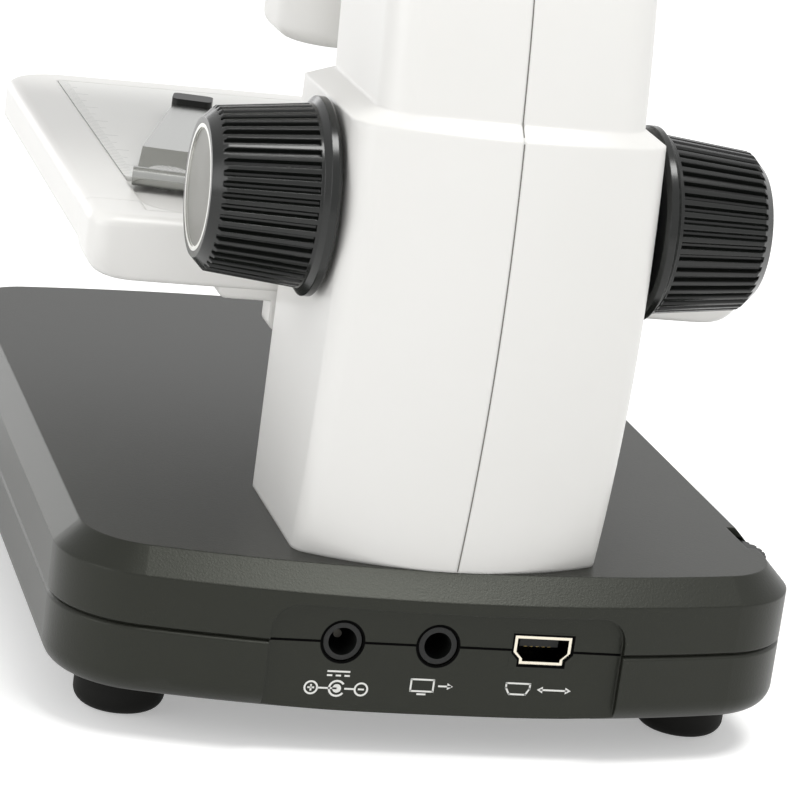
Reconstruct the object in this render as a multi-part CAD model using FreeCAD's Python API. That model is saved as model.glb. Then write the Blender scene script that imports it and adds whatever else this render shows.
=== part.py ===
"""Digital microscope with a screen: base, column, focusing stage and screen head.

Millimetres. +Z up, +Y towards the ports at the back, +X to the user's right hand.
The origin is on the ground under the middle of the base.
"""
import FreeCAD, Part
import math
import os
from FreeCAD import Matrix, Placement, Rotation, Vector

# Base: two moulded shells that meet at a seam, with a bevelled top edge
base_width = 99.4
base_depth = 143.7
base_rear_radius = 169.0
base_front_radius = 215.0
base_corner_radius = 13.0
base_bevel = 3.1
base_edge_round = 3.0
base_floor_z = 6.0
base_top_z = 25.3
seam_z = 15.4
seam_groove = 0.4
shell_wall = 2.0

# Fits between pieces
part_clearance = 0.3
running_clearance = 0.05
seat_clearance = 0.15

# Feet, under the four corners
foot_radius = 6.0
foot_x = 38.7
foot_y = 53.2
foot_round = 2.0

# Base screws, boards and bosses
base_screw_x = 40.0
base_screw_y = 38.0
screw_radius = 1.5
screw_head_radius = 2.8
screw_head_height = 1.8
boss_radius = 3.4

# Port panel, a flat recess across the back
panel_setback = 2.7
panel_width = 47.0
panel_top_z = 20.6
panel_corner = 4.0
dc_x = 13.8
av_x = 1.2
usb_x = -12.8
jack_hole_radius = 2.75
jack_nozzle_radius = 2.5
dc_bore_radius = 1.85
av_bore_radius = 1.8
jack_body_width = 8.6
jack_body_depth = 10.0
jack_body_height = 5.6
jack_bore_length = 8.8
mouth_setback = 0.2
dc_pin_radius = 0.55
dc_pin_setback = 3.0
contact_width = 1.0
contact_length = 5.0
contact_sheet = 0.35
contact_proud = 0.1
usb_width = 7.7
usb_height = 3.9
usb_depth = 9.0
usb_sheet = 0.4
usb_gap = 0.4

# Main board and what stands on it
board_thickness = 1.6
board_width = 94.0
board_depth = 56.0
card_width = 14.0
card_depth = 14.5
card_height = 1.9
card_y = 24.0

# Brightness wheel in the right-hand edge
wheel_x = -41.9
wheel_y = 47.2
wheel_radius = 7.5
wheel_bottom_z = 20.8
wheel_thickness = 2.8
wheel_notches = 30
wheel_slot_length = 9.0
pot_shaft_radius = 1.5
pot_size = 9.0

# Column: two half shells with a bowed back that bellies out at knob height
column_half_width = 20.4
column_front_y = 34.95
column_rear_y = 68.85
column_foot_radius = 38.0
column_shoulder_radius = 60.0
column_corner_radius = 3.0
column_shoulder_corner = 5.0
column_front_corner = 1.5
column_wall = 2.2
belly_z = 57.0
belly_out = 4.0
shoulder_z = 81.9
shoulder_out = 2.4
shoulder_step = 1.9
seam_lip = 1.2
lip_thickness = 0.9
lip_clearance = 0.1

# Neck and arm, the upper part of both half shells, which leans towards the head
neck_half_width = 17.4
neck_rear_radius = 95.0
neck_corner_radius = 4.5
neck_depth = 31.3
neck_lean = 0.15
neck_curve = 0.0005
neck_sweep = 0.00012

# Focus drive: knobs and pinion on a cross shaft, rack on the stage carriage
shaft_y = 55.6
shaft_z = 69.8
shaft_radius = 2.5
gear_module = 0.6
gear_teeth = 16
gear_addendum = 0.85
gear_dedendum = 1.15
gear_pressure_deg = 20.0
gear_backlash = 0.12
pinion_width = 8.0
rack_width = 6.0
rack_thickness = 3.2
bush_radius = 4.0
bush_flange_radius = 5.5
bush_flange = 1.0
stage_drop = 20.0
stage_lift = 10.0

# Knobs
knob_gap = 0.7
knob_length = 15.6
knob_flange_radius = 12.65
knob_flange_length = 1.6
knob_inner_radius = 11.7
knob_outer_radius = 10.4
knob_chamfer = 1.6
knob_ribs = 46
knob_groove_depth = 0.75
knob_groove_width = 1.0
cap_radius = 8.0
cap_thickness = 0.8
cap_rim = 0.5

# Guide rods and carriage
rod_x = 12.0
rod_radius = 2.0
rod_setback = 9.3
rod_foot_z = 26.3
carriage_half_width = 15.6
carriage_depth = 9.5
carriage_height = 16.0
carriage_bottom_z = 50.0
carriage_neck_half = 7.5
foot_block_height = 3.4

# Stage: a tray on a rear apron, with an inset scale plate
stage_gap = 0.8
stage_half_width = 45.8
stage_depth = 99.0
stage_top_z = 60.5
stage_thickness = 5.4
stage_corner = 10.0
stage_wall = 2.4
stage_floor = 2.0
stage_edge_round = 1.6
apron_depth = 9.0
apron_half_width = 41.5
apron_drop = 3.2
apron_step_half = 28.0
apron_step = 1.4
tab_half_width = 20.6
tab_drop = 5.4
tab_thickness = 4.5
scale_half_width = 37.7
scale_length = 68.0
scale_thickness = 1.2
scale_rear_gap = 25.0
recess_length = 20.0
recess_depth = 0.6
recess_corner = 6.0
cover_thickness = 1.4

# Stage clips: spring leaves that turn on pins
clip_pin_x = 32.0
clip_pin_y = 11.3
clip_length = 50.0
clip_angle_deg = 13.8
clip_base_width = 9.0
clip_tip_width = 5.0
clip_sheet = 0.5
clip_rise = 2.4
clip_curl_radius = 1.3
clip_pin_radius = 1.5
clip_pin_collar_radius = 2.0
clip_pin_head_radius = 2.8
clip_pin_head = 1.0
tip_length = 5.0
tip_width = 6.0
tip_height = 2.2

# Lens housing, hanging under the head on the lens axis
lens_y = -24.85
lens_half_width = 12.5
lens_corner = 8.5
lens_bottom_z = 77.0
lens_wall = 2.0
lens_edge_round = 2.4
barrel_radius = 5.5
barrel_bore = 3.6
barrel_length = 16.0
objective_radius = 3.5
led_circle_radius = 8.0
led_radius = 1.25
led_count = 8
led_board_thickness = 1.2

# Head: a tilted flat box with the screen on its upper front face
head_tilt_deg = 50.0
head_y = -13.3
head_z = 147.0
head_width = 92.0
head_height = 80.0
head_thickness = 24.0
head_corner = 9.0
head_rear_round = 5.0
head_wall = 2.0
bezel_thickness = 6.0
bezel_face = 2.4
bezel_round = 1.2
screen_width = 71.0
screen_height = 53.5
screen_offset = 5.5
window_margin = 2.5
window_thickness = 1.2
panel_margin = 2.0
panel_thickness = 3.2
head_board_width = 80.0
head_board_height = 66.0
head_board_depth = 10.4
head_boss_radius = 2.4
head_screw_seat = 1.4
small_screw_head = 1.2
button_row = -32.0
button_pitch = 14.0
button_radius = 3.3
button_flange_radius = 4.3
button_flange = 1.2
button_proud = 0.9
button_travel = 0.8
button_names = ["power", "menu", "down", "up", "capture"]
switch_size = 6.0
switch_plunger_radius = 1.6

# Ribbon between the two boards
ribbon_width = 12.0
ribbon_thickness = 0.7

# Worked out from the above
half_width = base_width / 2
rear_y = base_depth / 2
front_y = -base_depth / 2
panel_y = rear_y - panel_setback
board_top_z = seam_z - usb_height / 2
board_rear_y = panel_y - shell_wall - part_clearance
pitch_radius = gear_module * gear_teeth / 2
rod_y = column_front_y + rod_setback
stage_rear_y = column_front_y - stage_gap
stage_front_y = stage_rear_y - stage_depth
stage_bottom_z = stage_top_z - stage_thickness
neck_z = shoulder_z + shoulder_step
scale_rear_y = stage_rear_y - scale_rear_gap


def box(x0, x1, y0, y1, z0, z1):
    """Block between two corners."""
    return Part.makeBox(x1 - x0, y1 - y0, z1 - z0, Vector(x0, y0, z0))


def rod(radius, start, length, direction):
    """Cylinder from a start point along a direction."""
    return Part.makeCylinder(radius, length, Vector(*start), Vector(*direction))


def mirrored(shape):
    """Copy on the other side of the middle plane."""
    return shape.mirror(Vector(0, 0, 0), Vector(1, 0, 0))


def fuse(shapes):
    """One solid from pieces that share volume or faces."""
    return shapes[0].multiFuse(shapes[1:]).removeSplitter() if len(shapes) > 1 else shapes[0]


def end_points(half, apex, radius, corner, side):
    """Right-hand points of one end: side tangent, corner middle, end tangent."""
    x = half - corner
    if radius is None:
        y = apex - side * corner
        slant = corner * math.sqrt(0.5)
        return [(half, y), (x + slant, y + side * slant), (x, apex)]
    centre = apex - side * radius
    reach = radius - corner
    y = centre + side * math.sqrt(reach * reach - x * x)
    ux, uy = x / reach, (y - centre) / reach
    length = math.hypot(1 + ux, uy)
    middle = (x + corner * (1 + ux) / length, y + corner * uy / length)
    return [(half, y), middle, (ux * radius, centre + uy * radius)]


def plan_wire(half, rear, rear_radius, rear_corner, front, front_radius, front_corner, z):
    """Outline with straight sides, rounded corners and bowed or flat ends."""
    def at(point, mirror=False):
        return Vector(-point[0] if mirror else point[0], point[1], z)

    back = end_points(half, rear, rear_radius, rear_corner, 1)
    fore = end_points(half, front, front_radius, front_corner, -1)
    edges = [Part.LineSegment(at(fore[0]), at(back[0])).toShape()]
    edges.append(Part.Arc(at(back[0]), at(back[1]), at(back[2])).toShape())
    if rear_radius is None:
        edges.append(Part.LineSegment(at(back[2]), at(back[2], True)).toShape())
    else:
        edges.append(Part.Arc(at(back[2]), Vector(0, rear, z), at(back[2], True)).toShape())
    edges.append(Part.Arc(at(back[2], True), at(back[1], True), at(back[0], True)).toShape())
    edges.append(Part.LineSegment(at(back[0], True), at(fore[0], True)).toShape())
    edges.append(Part.Arc(at(fore[0], True), at(fore[1], True), at(fore[2], True)).toShape())
    if front_radius is None:
        edges.append(Part.LineSegment(at(fore[2], True), at(fore[2])).toShape())
    else:
        edges.append(Part.Arc(at(fore[2], True), Vector(0, front, z), at(fore[2])).toShape())
    edges.append(Part.Arc(at(fore[2]), at(fore[1]), at(fore[0])).toShape())
    return Part.Wire(edges)


def prism(wire, height):
    """Solid of a flat outline, pushed straight up."""
    return Part.Face(wire).extrude(Vector(0, 0, height))


def edges_at(shape, z):
    """Edges that lie at one height."""
    return [e for e in shape.Edges if all(abs(v.Z - z) < 1e-4 for v in e.Vertexes)]


def edges_near(shape, x=None, z=None):
    """Edges whose middle lies at a distance from the middle plane and at a height."""
    out = []
    for edge in shape.Edges:
        middle = edge.CenterOfMass
        if x is not None and abs(abs(middle.x) - x) > 1e-4:
            continue
        if z is None or abs(middle.z - z) < 1e-4:
            out.append(edge)
    return out


def base_block(inset, z0, z1):
    """Plan of the base, drawn in by the inset, between two heights."""
    wire = plan_wire(half_width - inset, rear_y - inset, base_rear_radius - inset,
                     base_corner_radius - inset, front_y + inset, base_front_radius - inset,
                     base_corner_radius - inset, z0)
    return prism(wire, z1 - z0)


def screw(x, y, head_z, length, up=1):
    """Pan-head screw: head at one height, shank along Z."""
    head = rod(screw_head_radius, (x, y, head_z), screw_head_height, (0, 0, up))
    shank = rod(screw_radius, (x, y, head_z), length, (0, 0, up))
    return fuse([head, shank])


def base_screw_places():
    """Four screw places of the base, by side and end."""
    return [(sx * base_screw_x, sy * base_screw_y) for sx in (-1, 1) for sy in (-1, 1)]


def port_panel_recess():
    """Space of the flat recess across the back, with rounded upper corners."""
    half = panel_width / 2
    block = box(-half, half, panel_y, rear_y + 1, base_floor_z - 1, panel_top_z)
    upper = edges_near(block, x=half, z=panel_top_z)
    return block.makeFillet(min(panel_corner, panel_setback + 1), upper)


def port_holes():
    """Holes through the panel for the two jacks and the small socket."""
    depth = shell_wall + 4
    start = panel_y + 1
    holes = [rod(jack_hole_radius, (x, start, seam_z), depth, (0, -1, 0)) for x in (dc_x, av_x)]
    half_w = usb_width / 2 + usb_gap
    half_h = usb_height / 2 + usb_gap
    holes.append(box(usb_x - half_w, usb_x + half_w, start - depth, start,
                     seam_z - half_h, seam_z + half_h))
    return holes


def card_slot():
    """Mouth of the card socket in the right-hand wall."""
    half = card_width / 2 - 0.5
    return box(-half_width - 1, -half_width + shell_wall + 1, card_y - half, card_y + half,
               board_top_z + 0.2, seam_z + 0.6)


def base_cavity(z0, z1):
    """Hollow of the base, held back from the thick wall behind the port panel."""
    inner = base_block(shell_wall, z0, z1)
    half = panel_width / 2 + shell_wall
    wall = box(-half, half, panel_y - shell_wall, rear_y, z0 - 1, z1 + 1)
    return inner.cut(wall)


def wheel_slot():
    """Notch in the right-hand edge through which the brightness wheel is turned."""
    half = wheel_slot_length / 2
    inner_x = wheel_x - wheel_radius * 0.45
    return box(-half_width - 1, inner_x, wheel_y - half, wheel_y + half,
               wheel_bottom_z - part_clearance, base_top_z + 1)


def wheel_room():
    """Round pocket in which the brightness wheel turns."""
    z0 = wheel_bottom_z - part_clearance
    z1 = wheel_bottom_z + wheel_thickness + part_clearance
    return rod(wheel_radius + part_clearance, (wheel_x, wheel_y, z0), z1 - z0, (0, 0, 1))


def base_top_shell():
    """Upper shell: bevelled top, port panel half, openings for column, wheel and card."""
    outer = base_block(0, seam_z, base_top_z)
    outer = outer.makeChamfer(base_bevel, edges_at(outer, base_top_z))
    outer = outer.makeChamfer(seam_groove, edges_at(outer, seam_z))
    ceiling = base_top_z - shell_wall
    inner_bevel = base_bevel - shell_wall * (2 - math.sqrt(2))
    inner = base_block(shell_wall, seam_z - 1, ceiling)
    inner = inner.makeChamfer(inner_bevel, edges_at(inner, ceiling))
    half = panel_width / 2 + shell_wall
    inner = inner.cut(box(-half, half, panel_y - shell_wall, rear_y, seam_z - 2, base_top_z))
    shell = outer.cut(inner)
    posts = []
    for x, y in base_screw_places():
        post = rod(boss_radius, (x, y, seam_z), ceiling - seam_z + 0.5, (0, 0, 1))
        posts.append(post)
    shell = fuse([shell] + posts)
    tools = port_holes() + [port_panel_recess(), card_slot(), wheel_slot(), wheel_room()]
    tools.append(box(-cable_half(), cable_half(), cable_rear_y() - 6, cable_rear_y(),
                     ceiling - 1, base_top_z + 1))
    for x, y in base_screw_places():
        tools.append(rod(screw_radius, (x, y, seam_z - 1), base_top_z - seam_z - 3, (0, 0, 1)))
    for x, y in column_screw_places():
        tools.append(rod(screw_radius, (x, y, ceiling - 1), shell_wall + 2, (0, 0, 1)))
    return shell.cut(tools[0].multiFuse(tools[1:]))


def base_bottom_shell():
    """Lower shell: rounded floor edge, screw wells, board posts and foot seats."""
    outer = base_block(0, base_floor_z, seam_z)
    outer = outer.makeFillet(base_edge_round, edges_at(outer, base_floor_z))
    outer = outer.makeChamfer(seam_groove, edges_at(outer, seam_z))
    floor = base_floor_z + shell_wall
    shell = outer.cut(base_cavity(floor, seam_z + 1))
    posts = [rod(boss_radius, (x, y, floor - 0.5), seam_z - floor + 0.5, (0, 0, 1))
             for x, y in base_screw_places()]
    board_bottom = board_top_z - board_thickness
    posts += [rod(boss_radius - 0.8, (x, y, floor - 0.5), board_bottom - floor + 0.5, (0, 0, 1))
              for x, y in board_screw_places()]
    shell = fuse([shell] + posts)
    tools = port_holes() + [port_panel_recess(), card_slot()]
    for x, y in base_screw_places():
        tools.append(rod(screw_radius, (x, y, base_floor_z - 1), seam_z, (0, 0, 1)))
        tools.append(rod(screw_head_radius + seat_clearance, (x, y, base_floor_z - 1),
                         screw_head_height + 2, (0, 0, 1)))
    for x, y in board_screw_places():
        tools.append(rod(board_screw_radius(), (x, y, floor), board_top_z, (0, 0, 1)))
    for x, y in foot_places():
        tools.append(rod(foot_peg_radius(), (x, y, base_floor_z - 1), shell_wall + 2, (0, 0, 1)))
    return shell.cut(tools[0].multiFuse(tools[1:]))


def board_screw_radius():
    """Board screws are one size down from the case screws."""
    return screw_radius - 0.4


def board_screw_places():
    """Screw places near the corners of the main board."""
    x = board_width / 2 - 15
    return [(sx * x, board_rear_y - d) for sx in (-1, 1) for d in (6.0, board_depth - 3)]


def column_screw_places():
    """Foot screws of the column, two in each half shell."""
    x = column_half_width - column_wall - boss_radius + 0.6
    return [(sx * x, y) for sx in (-1, 1)
            for y in (column_front_y + column_wall + 2.6, column_rear_y - 12.5)]


def cable_half():
    """Half width of the cable opening in the base top."""
    return ribbon_width / 2 + 1.5


def cable_rear_y():
    """Rear edge of the cable opening."""
    return column_rear_y - column_wall - 1.5


def foot_places():
    """Centres of the four feet."""
    return [(sx * foot_x, sy * foot_y) for sx in (-1, 1) for sy in (-1, 1)]


def foot_peg_radius():
    """Peg of a foot in the floor of the base."""
    return foot_radius / 2


def rubber_feet():
    """Four domed feet, each with a peg pressed into the floor."""
    feet = []
    for x, y in foot_places():
        pad = rod(foot_radius, (x, y, 0), base_floor_z, (0, 0, 1))
        pad = pad.makeFillet(foot_round, edges_at(pad, 0))
        peg = rod(foot_peg_radius(), (x, y, base_floor_z - 0.5), shell_wall + 0.5, (0, 0, 1))
        feet.append(fuse([pad, peg]))
    return Part.makeCompound(feet)


def base_screws():
    """Case screws, driven up from wells in the floor."""
    head_z = base_floor_z + 1.0
    length = base_top_z - head_z - shell_wall - 3
    return Part.makeCompound([screw(x, y, head_z, length) for x, y in base_screw_places()])


def main_board():
    """Circuit board behind the port panel, notched round the case posts."""
    z0 = board_top_z - board_thickness
    board = box(-board_width / 2, board_width / 2, board_rear_y - board_depth, board_rear_y,
                z0, board_top_z)
    board = board.common(base_block(shell_wall + part_clearance, z0 - 1, board_top_z + 1))
    holes = [rod(board_screw_radius(), (x, y, z0 - 1), board_thickness + 2, (0, 0, 1))
             for x, y in board_screw_places()]
    holes += [rod(boss_radius + 0.5, (x, y, z0 - 1), board_thickness + 2, (0, 0, 1))
              for x, y in base_screw_places() if y > 0]
    return board.cut(holes[0].multiFuse(holes[1:]))


def board_chips():
    """Processor, memory and regulator packages on the board."""
    rows = [(0, 42, 16, 16, 1.6), (-20, 44, 9, 12, 1.2), (20, 44, 9, 12, 1.2),
            (26, 26, 6, 8, 2.4), (10, 24, 5, 5, 1.8), (-10, 24, 7, 5, 1.4)]
    return Part.makeCompound([box(x - w / 2, x + w / 2, y - d / 2, y + d / 2,
                                  board_top_z, board_top_z + h) for x, y, w, d, h in rows])


def board_screws():
    """Small screws that hold the main board on its posts."""
    out = []
    for x, y in board_screw_places():
        head = rod(board_screw_radius() + 1.0, (x, y, board_top_z), small_screw_head, (0, 0, 1))
        shank = rod(board_screw_radius(), (x, y, board_top_z), 5.0, (0, 0, -1))
        out.append(fuse([head, shank]))
    return Part.makeCompound(out)


def jack(x, bore_radius):
    """Jack body on the board with a round nozzle that ends flush in the panel."""
    half = jack_body_width / 2
    body = box(x - half, x + half, board_rear_y - jack_body_depth, board_rear_y,
               board_top_z, board_top_z + jack_body_height)
    nozzle = rod(jack_nozzle_radius, (x, board_rear_y, seam_z), jack_mouth_y() - board_rear_y,
                 (0, 1, 0))
    shape = fuse([body, nozzle])
    return shape.cut(rod(bore_radius, (x, jack_bore_end_y(), seam_z), jack_body_depth, (0, 1, 0)))


def jack_mouth_y():
    """Outer end of both nozzles, just inside the panel's face."""
    return panel_y - mouth_setback


def jack_bore_end_y():
    """Closed end of the bores in both jacks."""
    return jack_mouth_y() - jack_bore_length


def av_jack():
    """Signal jack, with a groove for its leaf contact above the bore."""
    return jack(av_x, av_bore_radius).cut(leaf_contact(0.0))


def dc_jack_pin():
    """Centre pin and its foot in the power jack."""
    return rod(dc_pin_radius, (dc_x, jack_bore_end_y(), seam_z), jack_bore_length - dc_pin_setback,
               (0, 1, 0))


def leaf_contact(inner):
    """Block above the signal jack's axis, from an inner distance to the back of the leaf."""
    half = contact_width / 2
    return box(av_x - half, av_x + half, jack_bore_end_y(), jack_bore_end_y() + contact_length,
               seam_z + inner, seam_z + av_bore_radius + contact_sheet - contact_proud)


def av_jack_contact():
    """Leaf contact in the wall of the signal jack."""
    return leaf_contact(av_bore_radius - contact_proud)


def usb_outline(inset, y):
    """Five-contact socket outline: wide above, drawn in below."""
    half = usb_width / 2 - inset
    top = seam_z + usb_height / 2 - inset
    low = seam_z - usb_height / 2 + inset
    knee = seam_z - 0.3
    foot = half - 0.9
    points = [(-half, top), (half, top), (half, knee), (foot, knee - 0.9), (foot, low),
              (-foot, low), (-foot, knee - 0.9), (-half, knee)]
    return Part.makePolygon([Vector(usb_x + x, y, z) for x, z in points + points[:1]])


def usb_shell():
    """Folded sheet shell of the small socket, closed at the back."""
    back = panel_y - mouth_setback - usb_depth
    outer = Part.Face(usb_outline(0, back)).extrude(Vector(0, usb_depth, 0))
    inner = Part.Face(usb_outline(usb_sheet, back + usb_sheet)).extrude(Vector(0, usb_depth, 0))
    return outer.cut(inner)


def usb_tongue():
    """Plastic tongue that stands in the socket."""
    back = panel_y - mouth_setback - usb_depth + usb_sheet
    tongue = box(usb_x - 2.6, usb_x + 2.6, back, back + usb_depth - 2.2, seam_z - 0.1, seam_z + 0.9)
    root = box(usb_x - 2.5, usb_x + 2.5, back, back + 1.5, seam_z - usb_height / 2 + usb_sheet,
               seam_z + usb_height / 2 - usb_sheet)
    return fuse([tongue, root])


def usb_contacts():
    """Five contact strips under the tongue."""
    back = panel_y - mouth_setback - usb_depth + usb_sheet + 1.5
    strips = [box(usb_x + i * 0.8 - 0.2, usb_x + i * 0.8 + 0.2, back, back + usb_depth - 4.2,
                  seam_z - 0.3, seam_z - 0.1) for i in range(-2, 3)]
    return Part.makeCompound(strips)


def card_socket():
    """Low sheet-metal card socket at the right-hand edge of the board."""
    x0 = -board_width / 2
    outer = box(x0, x0 + card_depth, card_y - card_width / 2, card_y + card_width / 2,
                board_top_z, board_top_z + card_height)
    inner = box(x0 - 1, x0 + card_depth - 1, card_y - card_width / 2 + 1,
                card_y + card_width / 2 - 1, board_top_z + 0.5, board_top_z + 1.4)
    return outer.cut(inner)


def brightness_wheel():
    """Thumb wheel with a notched rim and a hub on the potentiometer shaft."""
    disc = rod(wheel_radius, (wheel_x, wheel_y, wheel_bottom_z), wheel_thickness, (0, 0, 1))
    hub = rod(3.0, (wheel_x, wheel_y, wheel_bottom_z - 1.8), 2.0, (0, 0, 1))
    wheel = fuse([disc, hub])
    cuts = []
    for k in range(wheel_notches):
        a = 2 * math.pi * k / wheel_notches
        cuts.append(rod(0.4, (wheel_x + (wheel_radius + 0.1) * math.cos(a),
                              wheel_y + (wheel_radius + 0.1) * math.sin(a),
                              wheel_bottom_z - 1), wheel_thickness + 2, (0, 0, 1)))
    cuts.append(rod(pot_shaft_radius + running_clearance, (wheel_x, wheel_y, wheel_bottom_z - 3),
                    wheel_thickness + 2.0, (0, 0, 1)))
    return wheel.cut(cuts[0].multiFuse(cuts[1:]))


def brightness_pot():
    """Potentiometer on the board, with the shaft that carries the wheel."""
    half = pot_size / 2
    top = wheel_bottom_z - 1.8 - part_clearance
    body = box(wheel_x - half, wheel_x + half, wheel_y - half, wheel_y + half,
               board_top_z, top)
    shaft = rod(pot_shaft_radius, (wheel_x, wheel_y, top - 1), wheel_thickness + 1.8, (0, 0, 1))
    return fuse([body, shaft])


def column_rear(z):
    """Depth of the column's back at one height: a curve that bellies out and in again."""
    foot, top = base_top_z, shoulder_z
    b = (z - foot) * (z - top) / ((belly_z - foot) * (belly_z - top)) * belly_out
    c = (z - foot) * (z - belly_z) / ((top - foot) * (top - belly_z)) * shoulder_out
    return column_rear_y + b + c


def column_section(z, inset):
    """Outline of the lower sleeve at one height."""
    t = (z - base_top_z) / (shoulder_z - base_top_z)
    radius = column_foot_radius + (column_shoulder_radius - column_foot_radius) * t
    corner = column_corner_radius + (column_shoulder_corner - column_corner_radius) * t
    return plan_wire(column_half_width - inset, column_rear(z) - inset, radius - inset,
                     corner - inset * 0.5, column_front_y + inset, None,
                     max(column_front_corner - inset, 0.4), z)


def neck_rear(z):
    """Depth of the neck's back, which leans forward more the higher it is."""
    d = z - neck_z
    lean = neck_lean * d + neck_curve * d ** 2 + neck_sweep * d ** 3
    return column_rear(shoulder_z) - shoulder_step - lean


def neck_section(z, inset):
    """Outline of the neck and arm at one height."""
    rear = neck_rear(z)
    return plan_wire(neck_half_width - inset, rear - inset, neck_rear_radius - inset,
                     neck_corner_radius - inset * 0.5, rear - neck_depth + inset, None,
                     max(neck_corner_radius * 0.5 - inset, 0.4), z)


def steps(z0, z1, count):
    """Evenly spaced heights, both ends included."""
    return [z0 + (z1 - z0) * k / (count - 1) for k in range(count)]


def column_solid(inset, open_foot):
    """Sleeve, shoulder and leaning arm as one closed form, drawn in by the inset."""
    foot = base_top_z - (1 if open_foot else 0)
    heights = steps(base_top_z, shoulder_z, 6)
    sleeve = Part.makeLoft([column_section(z, inset) for z in heights], True, False)
    parts = [sleeve]
    if open_foot:
        parts.append(prism(column_section(base_top_z, inset).translated(Vector(0, 0, -1)), 1))
    low = column_section(shoulder_z, inset)
    high = neck_section(neck_z, inset)
    parts.append(Part.makeLoft([low, high], True, True))
    top = head_z + shell_wall * 7
    parts.append(Part.makeLoft([neck_section(z, inset) for z in steps(neck_z, top, 8)],
                               True, False))
    return fuse(parts)


def head_place():
    """Placement of the head: its own Z is the screen's outward normal."""
    return Placement(Vector(0, head_y, head_z), Rotation(Vector(1, 0, 0), head_tilt_deg))


def in_head(shape):
    """Shape drawn in the head's own frame, set in its place."""
    out = shape.copy()
    out.Placement = head_place().multiply(out.Placement)
    return out


def head_outer():
    """Closed outer form of the whole head."""
    block = head_plate(0, -head_thickness, head_thickness)
    block = block.makeFillet(head_rear_round, edges_at(block, -head_thickness))
    return in_head(block.makeFillet(bezel_round, edges_at(block, 0)))


def head_plate(inset, w0, height):
    """Rounded rectangle of the head's face size, drawn in by the inset."""
    half_w = head_width / 2 - inset
    half_h = head_height / 2 - inset
    corner = head_corner - inset
    wire = plan_wire(half_w, half_h, None, corner, -half_h, None, corner, w0)
    return prism(wire, height)


def behind_head():
    """Big block on the far side of the head's back plane, for trimming the arm."""
    size = 200.0
    return in_head(box(-size, size, -size, size, -head_thickness, size))


def column_hollow():
    """Outer form less its hollow, trimmed at the head, with all round openings."""
    trim = behind_head()
    outer = column_solid(0, False).cut(trim)
    inner = column_solid(column_wall, True)
    shell = outer.cut(inner)
    bosses = []
    for x, y in column_screw_places():
        bosses.append(rod(boss_radius, (x, y, base_top_z), foot_block_height, (0, 0, 1)))
    for sx in (-1, 1):
        bosses += rod_holders(sx)
    bosses = [b.common(outer) for b in bosses]
    shell = fuse([shell] + bosses)
    tools = [rod(screw_radius, (x, y, base_top_z - 1), foot_block_height + 0.4, (0, 0, 1))
             for x, y in column_screw_places()]
    tools.append(rod(bush_radius, (-column_half_width - 1, shaft_y, shaft_z),
                     2 * column_half_width + 2, (1, 0, 0)))
    slot_half = carriage_neck_half + 1.0
    low = carriage_bottom_z - stage_drop - 1.0
    high = neck_top_z() + stage_lift + 1.0
    tools.append(box(-slot_half, slot_half, column_front_y - 1, column_front_y + column_wall + 0.5,
                     low, high))
    for sx in (-1, 1):
        tools.append(rod(rod_radius, (sx * rod_x, rod_y, rod_foot_z), rod_length(), (0, 0, 1)))
    return shell.cut(tools[0].multiFuse(tools[1:]))


def rod_length():
    """Guide rods run from the foot holder into the upper holder."""
    return shoulder_z - 1.0 - rod_foot_z


def rod_holders(side):
    """Lower and upper bridges between the side wall and one guide rod."""
    x_wall = side * (column_half_width - column_wall / 2)
    x_in = side * (rod_x - rod_radius - 1.6)
    x0, x1 = min(x_wall, x_in), max(x_wall, x_in)
    y0, y1 = column_front_y + column_wall / 2, rod_y + rod_radius + 1.6
    low = box(x0, x1, y0, y1, base_top_z, base_top_z + foot_block_height)
    high = box(x0, x1, y0, y1, shoulder_z - 4.0, shoulder_z)
    return [low, high]


def column_half(side):
    """One half shell; the left half carries a lip that laps inside the right half."""
    shell = column_hollow_cache()
    size = 200.0
    keep = box(0, size, -size, size, 0, size * 2) if side > 0 else box(-size, 0, -size, size,
                                                                       0, size * 2)
    half = shell.common(keep)
    if side > 0:
        return fuse([half, column_lip(0.0).cut(column_solid(column_wall, True))])
    return half.cut(column_lip(lip_clearance))


_hollow = []


def column_hollow_cache():
    """The hollow column is worked out once and shared by both halves."""
    if not _hollow:
        _hollow.append(column_hollow())
    return _hollow[0]


def column_lip(grow):
    """Room of the thin inner strip along the back seam, which laps into the right half."""
    form = column_solid(column_wall - lip_thickness - grow, True)
    window = box(-seam_lip - grow, 0.0, column_rear_y - 8, column_rear_y + 20,
                 base_top_z + 6.0 - grow, shoulder_z - 2.0 + grow)
    return form.common(window)


def column_screws():
    """Foot screws, driven up through the top of the base."""
    head_z = base_top_z - shell_wall - screw_head_height
    length = screw_head_height + shell_wall + foot_block_height - 0.6
    return Part.makeCompound([screw(x, y, head_z, length) for x, y in column_screw_places()])


def involute(base, radius):
    """Angle that the involute of a base circle has swept at one radius."""
    ratio = math.sqrt((radius / base) ** 2 - 1)
    return ratio - math.atan(ratio)


def pinion_outline(x):
    """Toothed outline in the plane across the shaft; one tooth points to the rack."""
    pressure = math.radians(gear_pressure_deg)
    base = pitch_radius * math.cos(pressure)
    tip = pitch_radius + gear_addendum * gear_module
    root = pitch_radius - gear_dedendum * gear_module
    half_pitch = (math.pi / 2 - gear_backlash / gear_module / 2) / gear_teeth
    half_base = half_pitch + involute(base, pitch_radius)
    flank = [base + (tip - base) * k / 4 for k in range(5)]
    points = []
    for k in range(gear_teeth):
        middle = math.pi + 2 * math.pi * k / gear_teeth
        rise = [(root, middle - half_base)]
        rise += [(r, middle - half_base + involute(base, r)) for r in flank]
        fall = [(r, 2 * middle - a) for r, a in reversed(rise)]
        points += rise + fall
    vectors = [Vector(x, shaft_y + r * math.cos(a), shaft_z + r * math.sin(a)) for r, a in points]
    return Part.makePolygon(vectors + vectors[:1])


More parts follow.
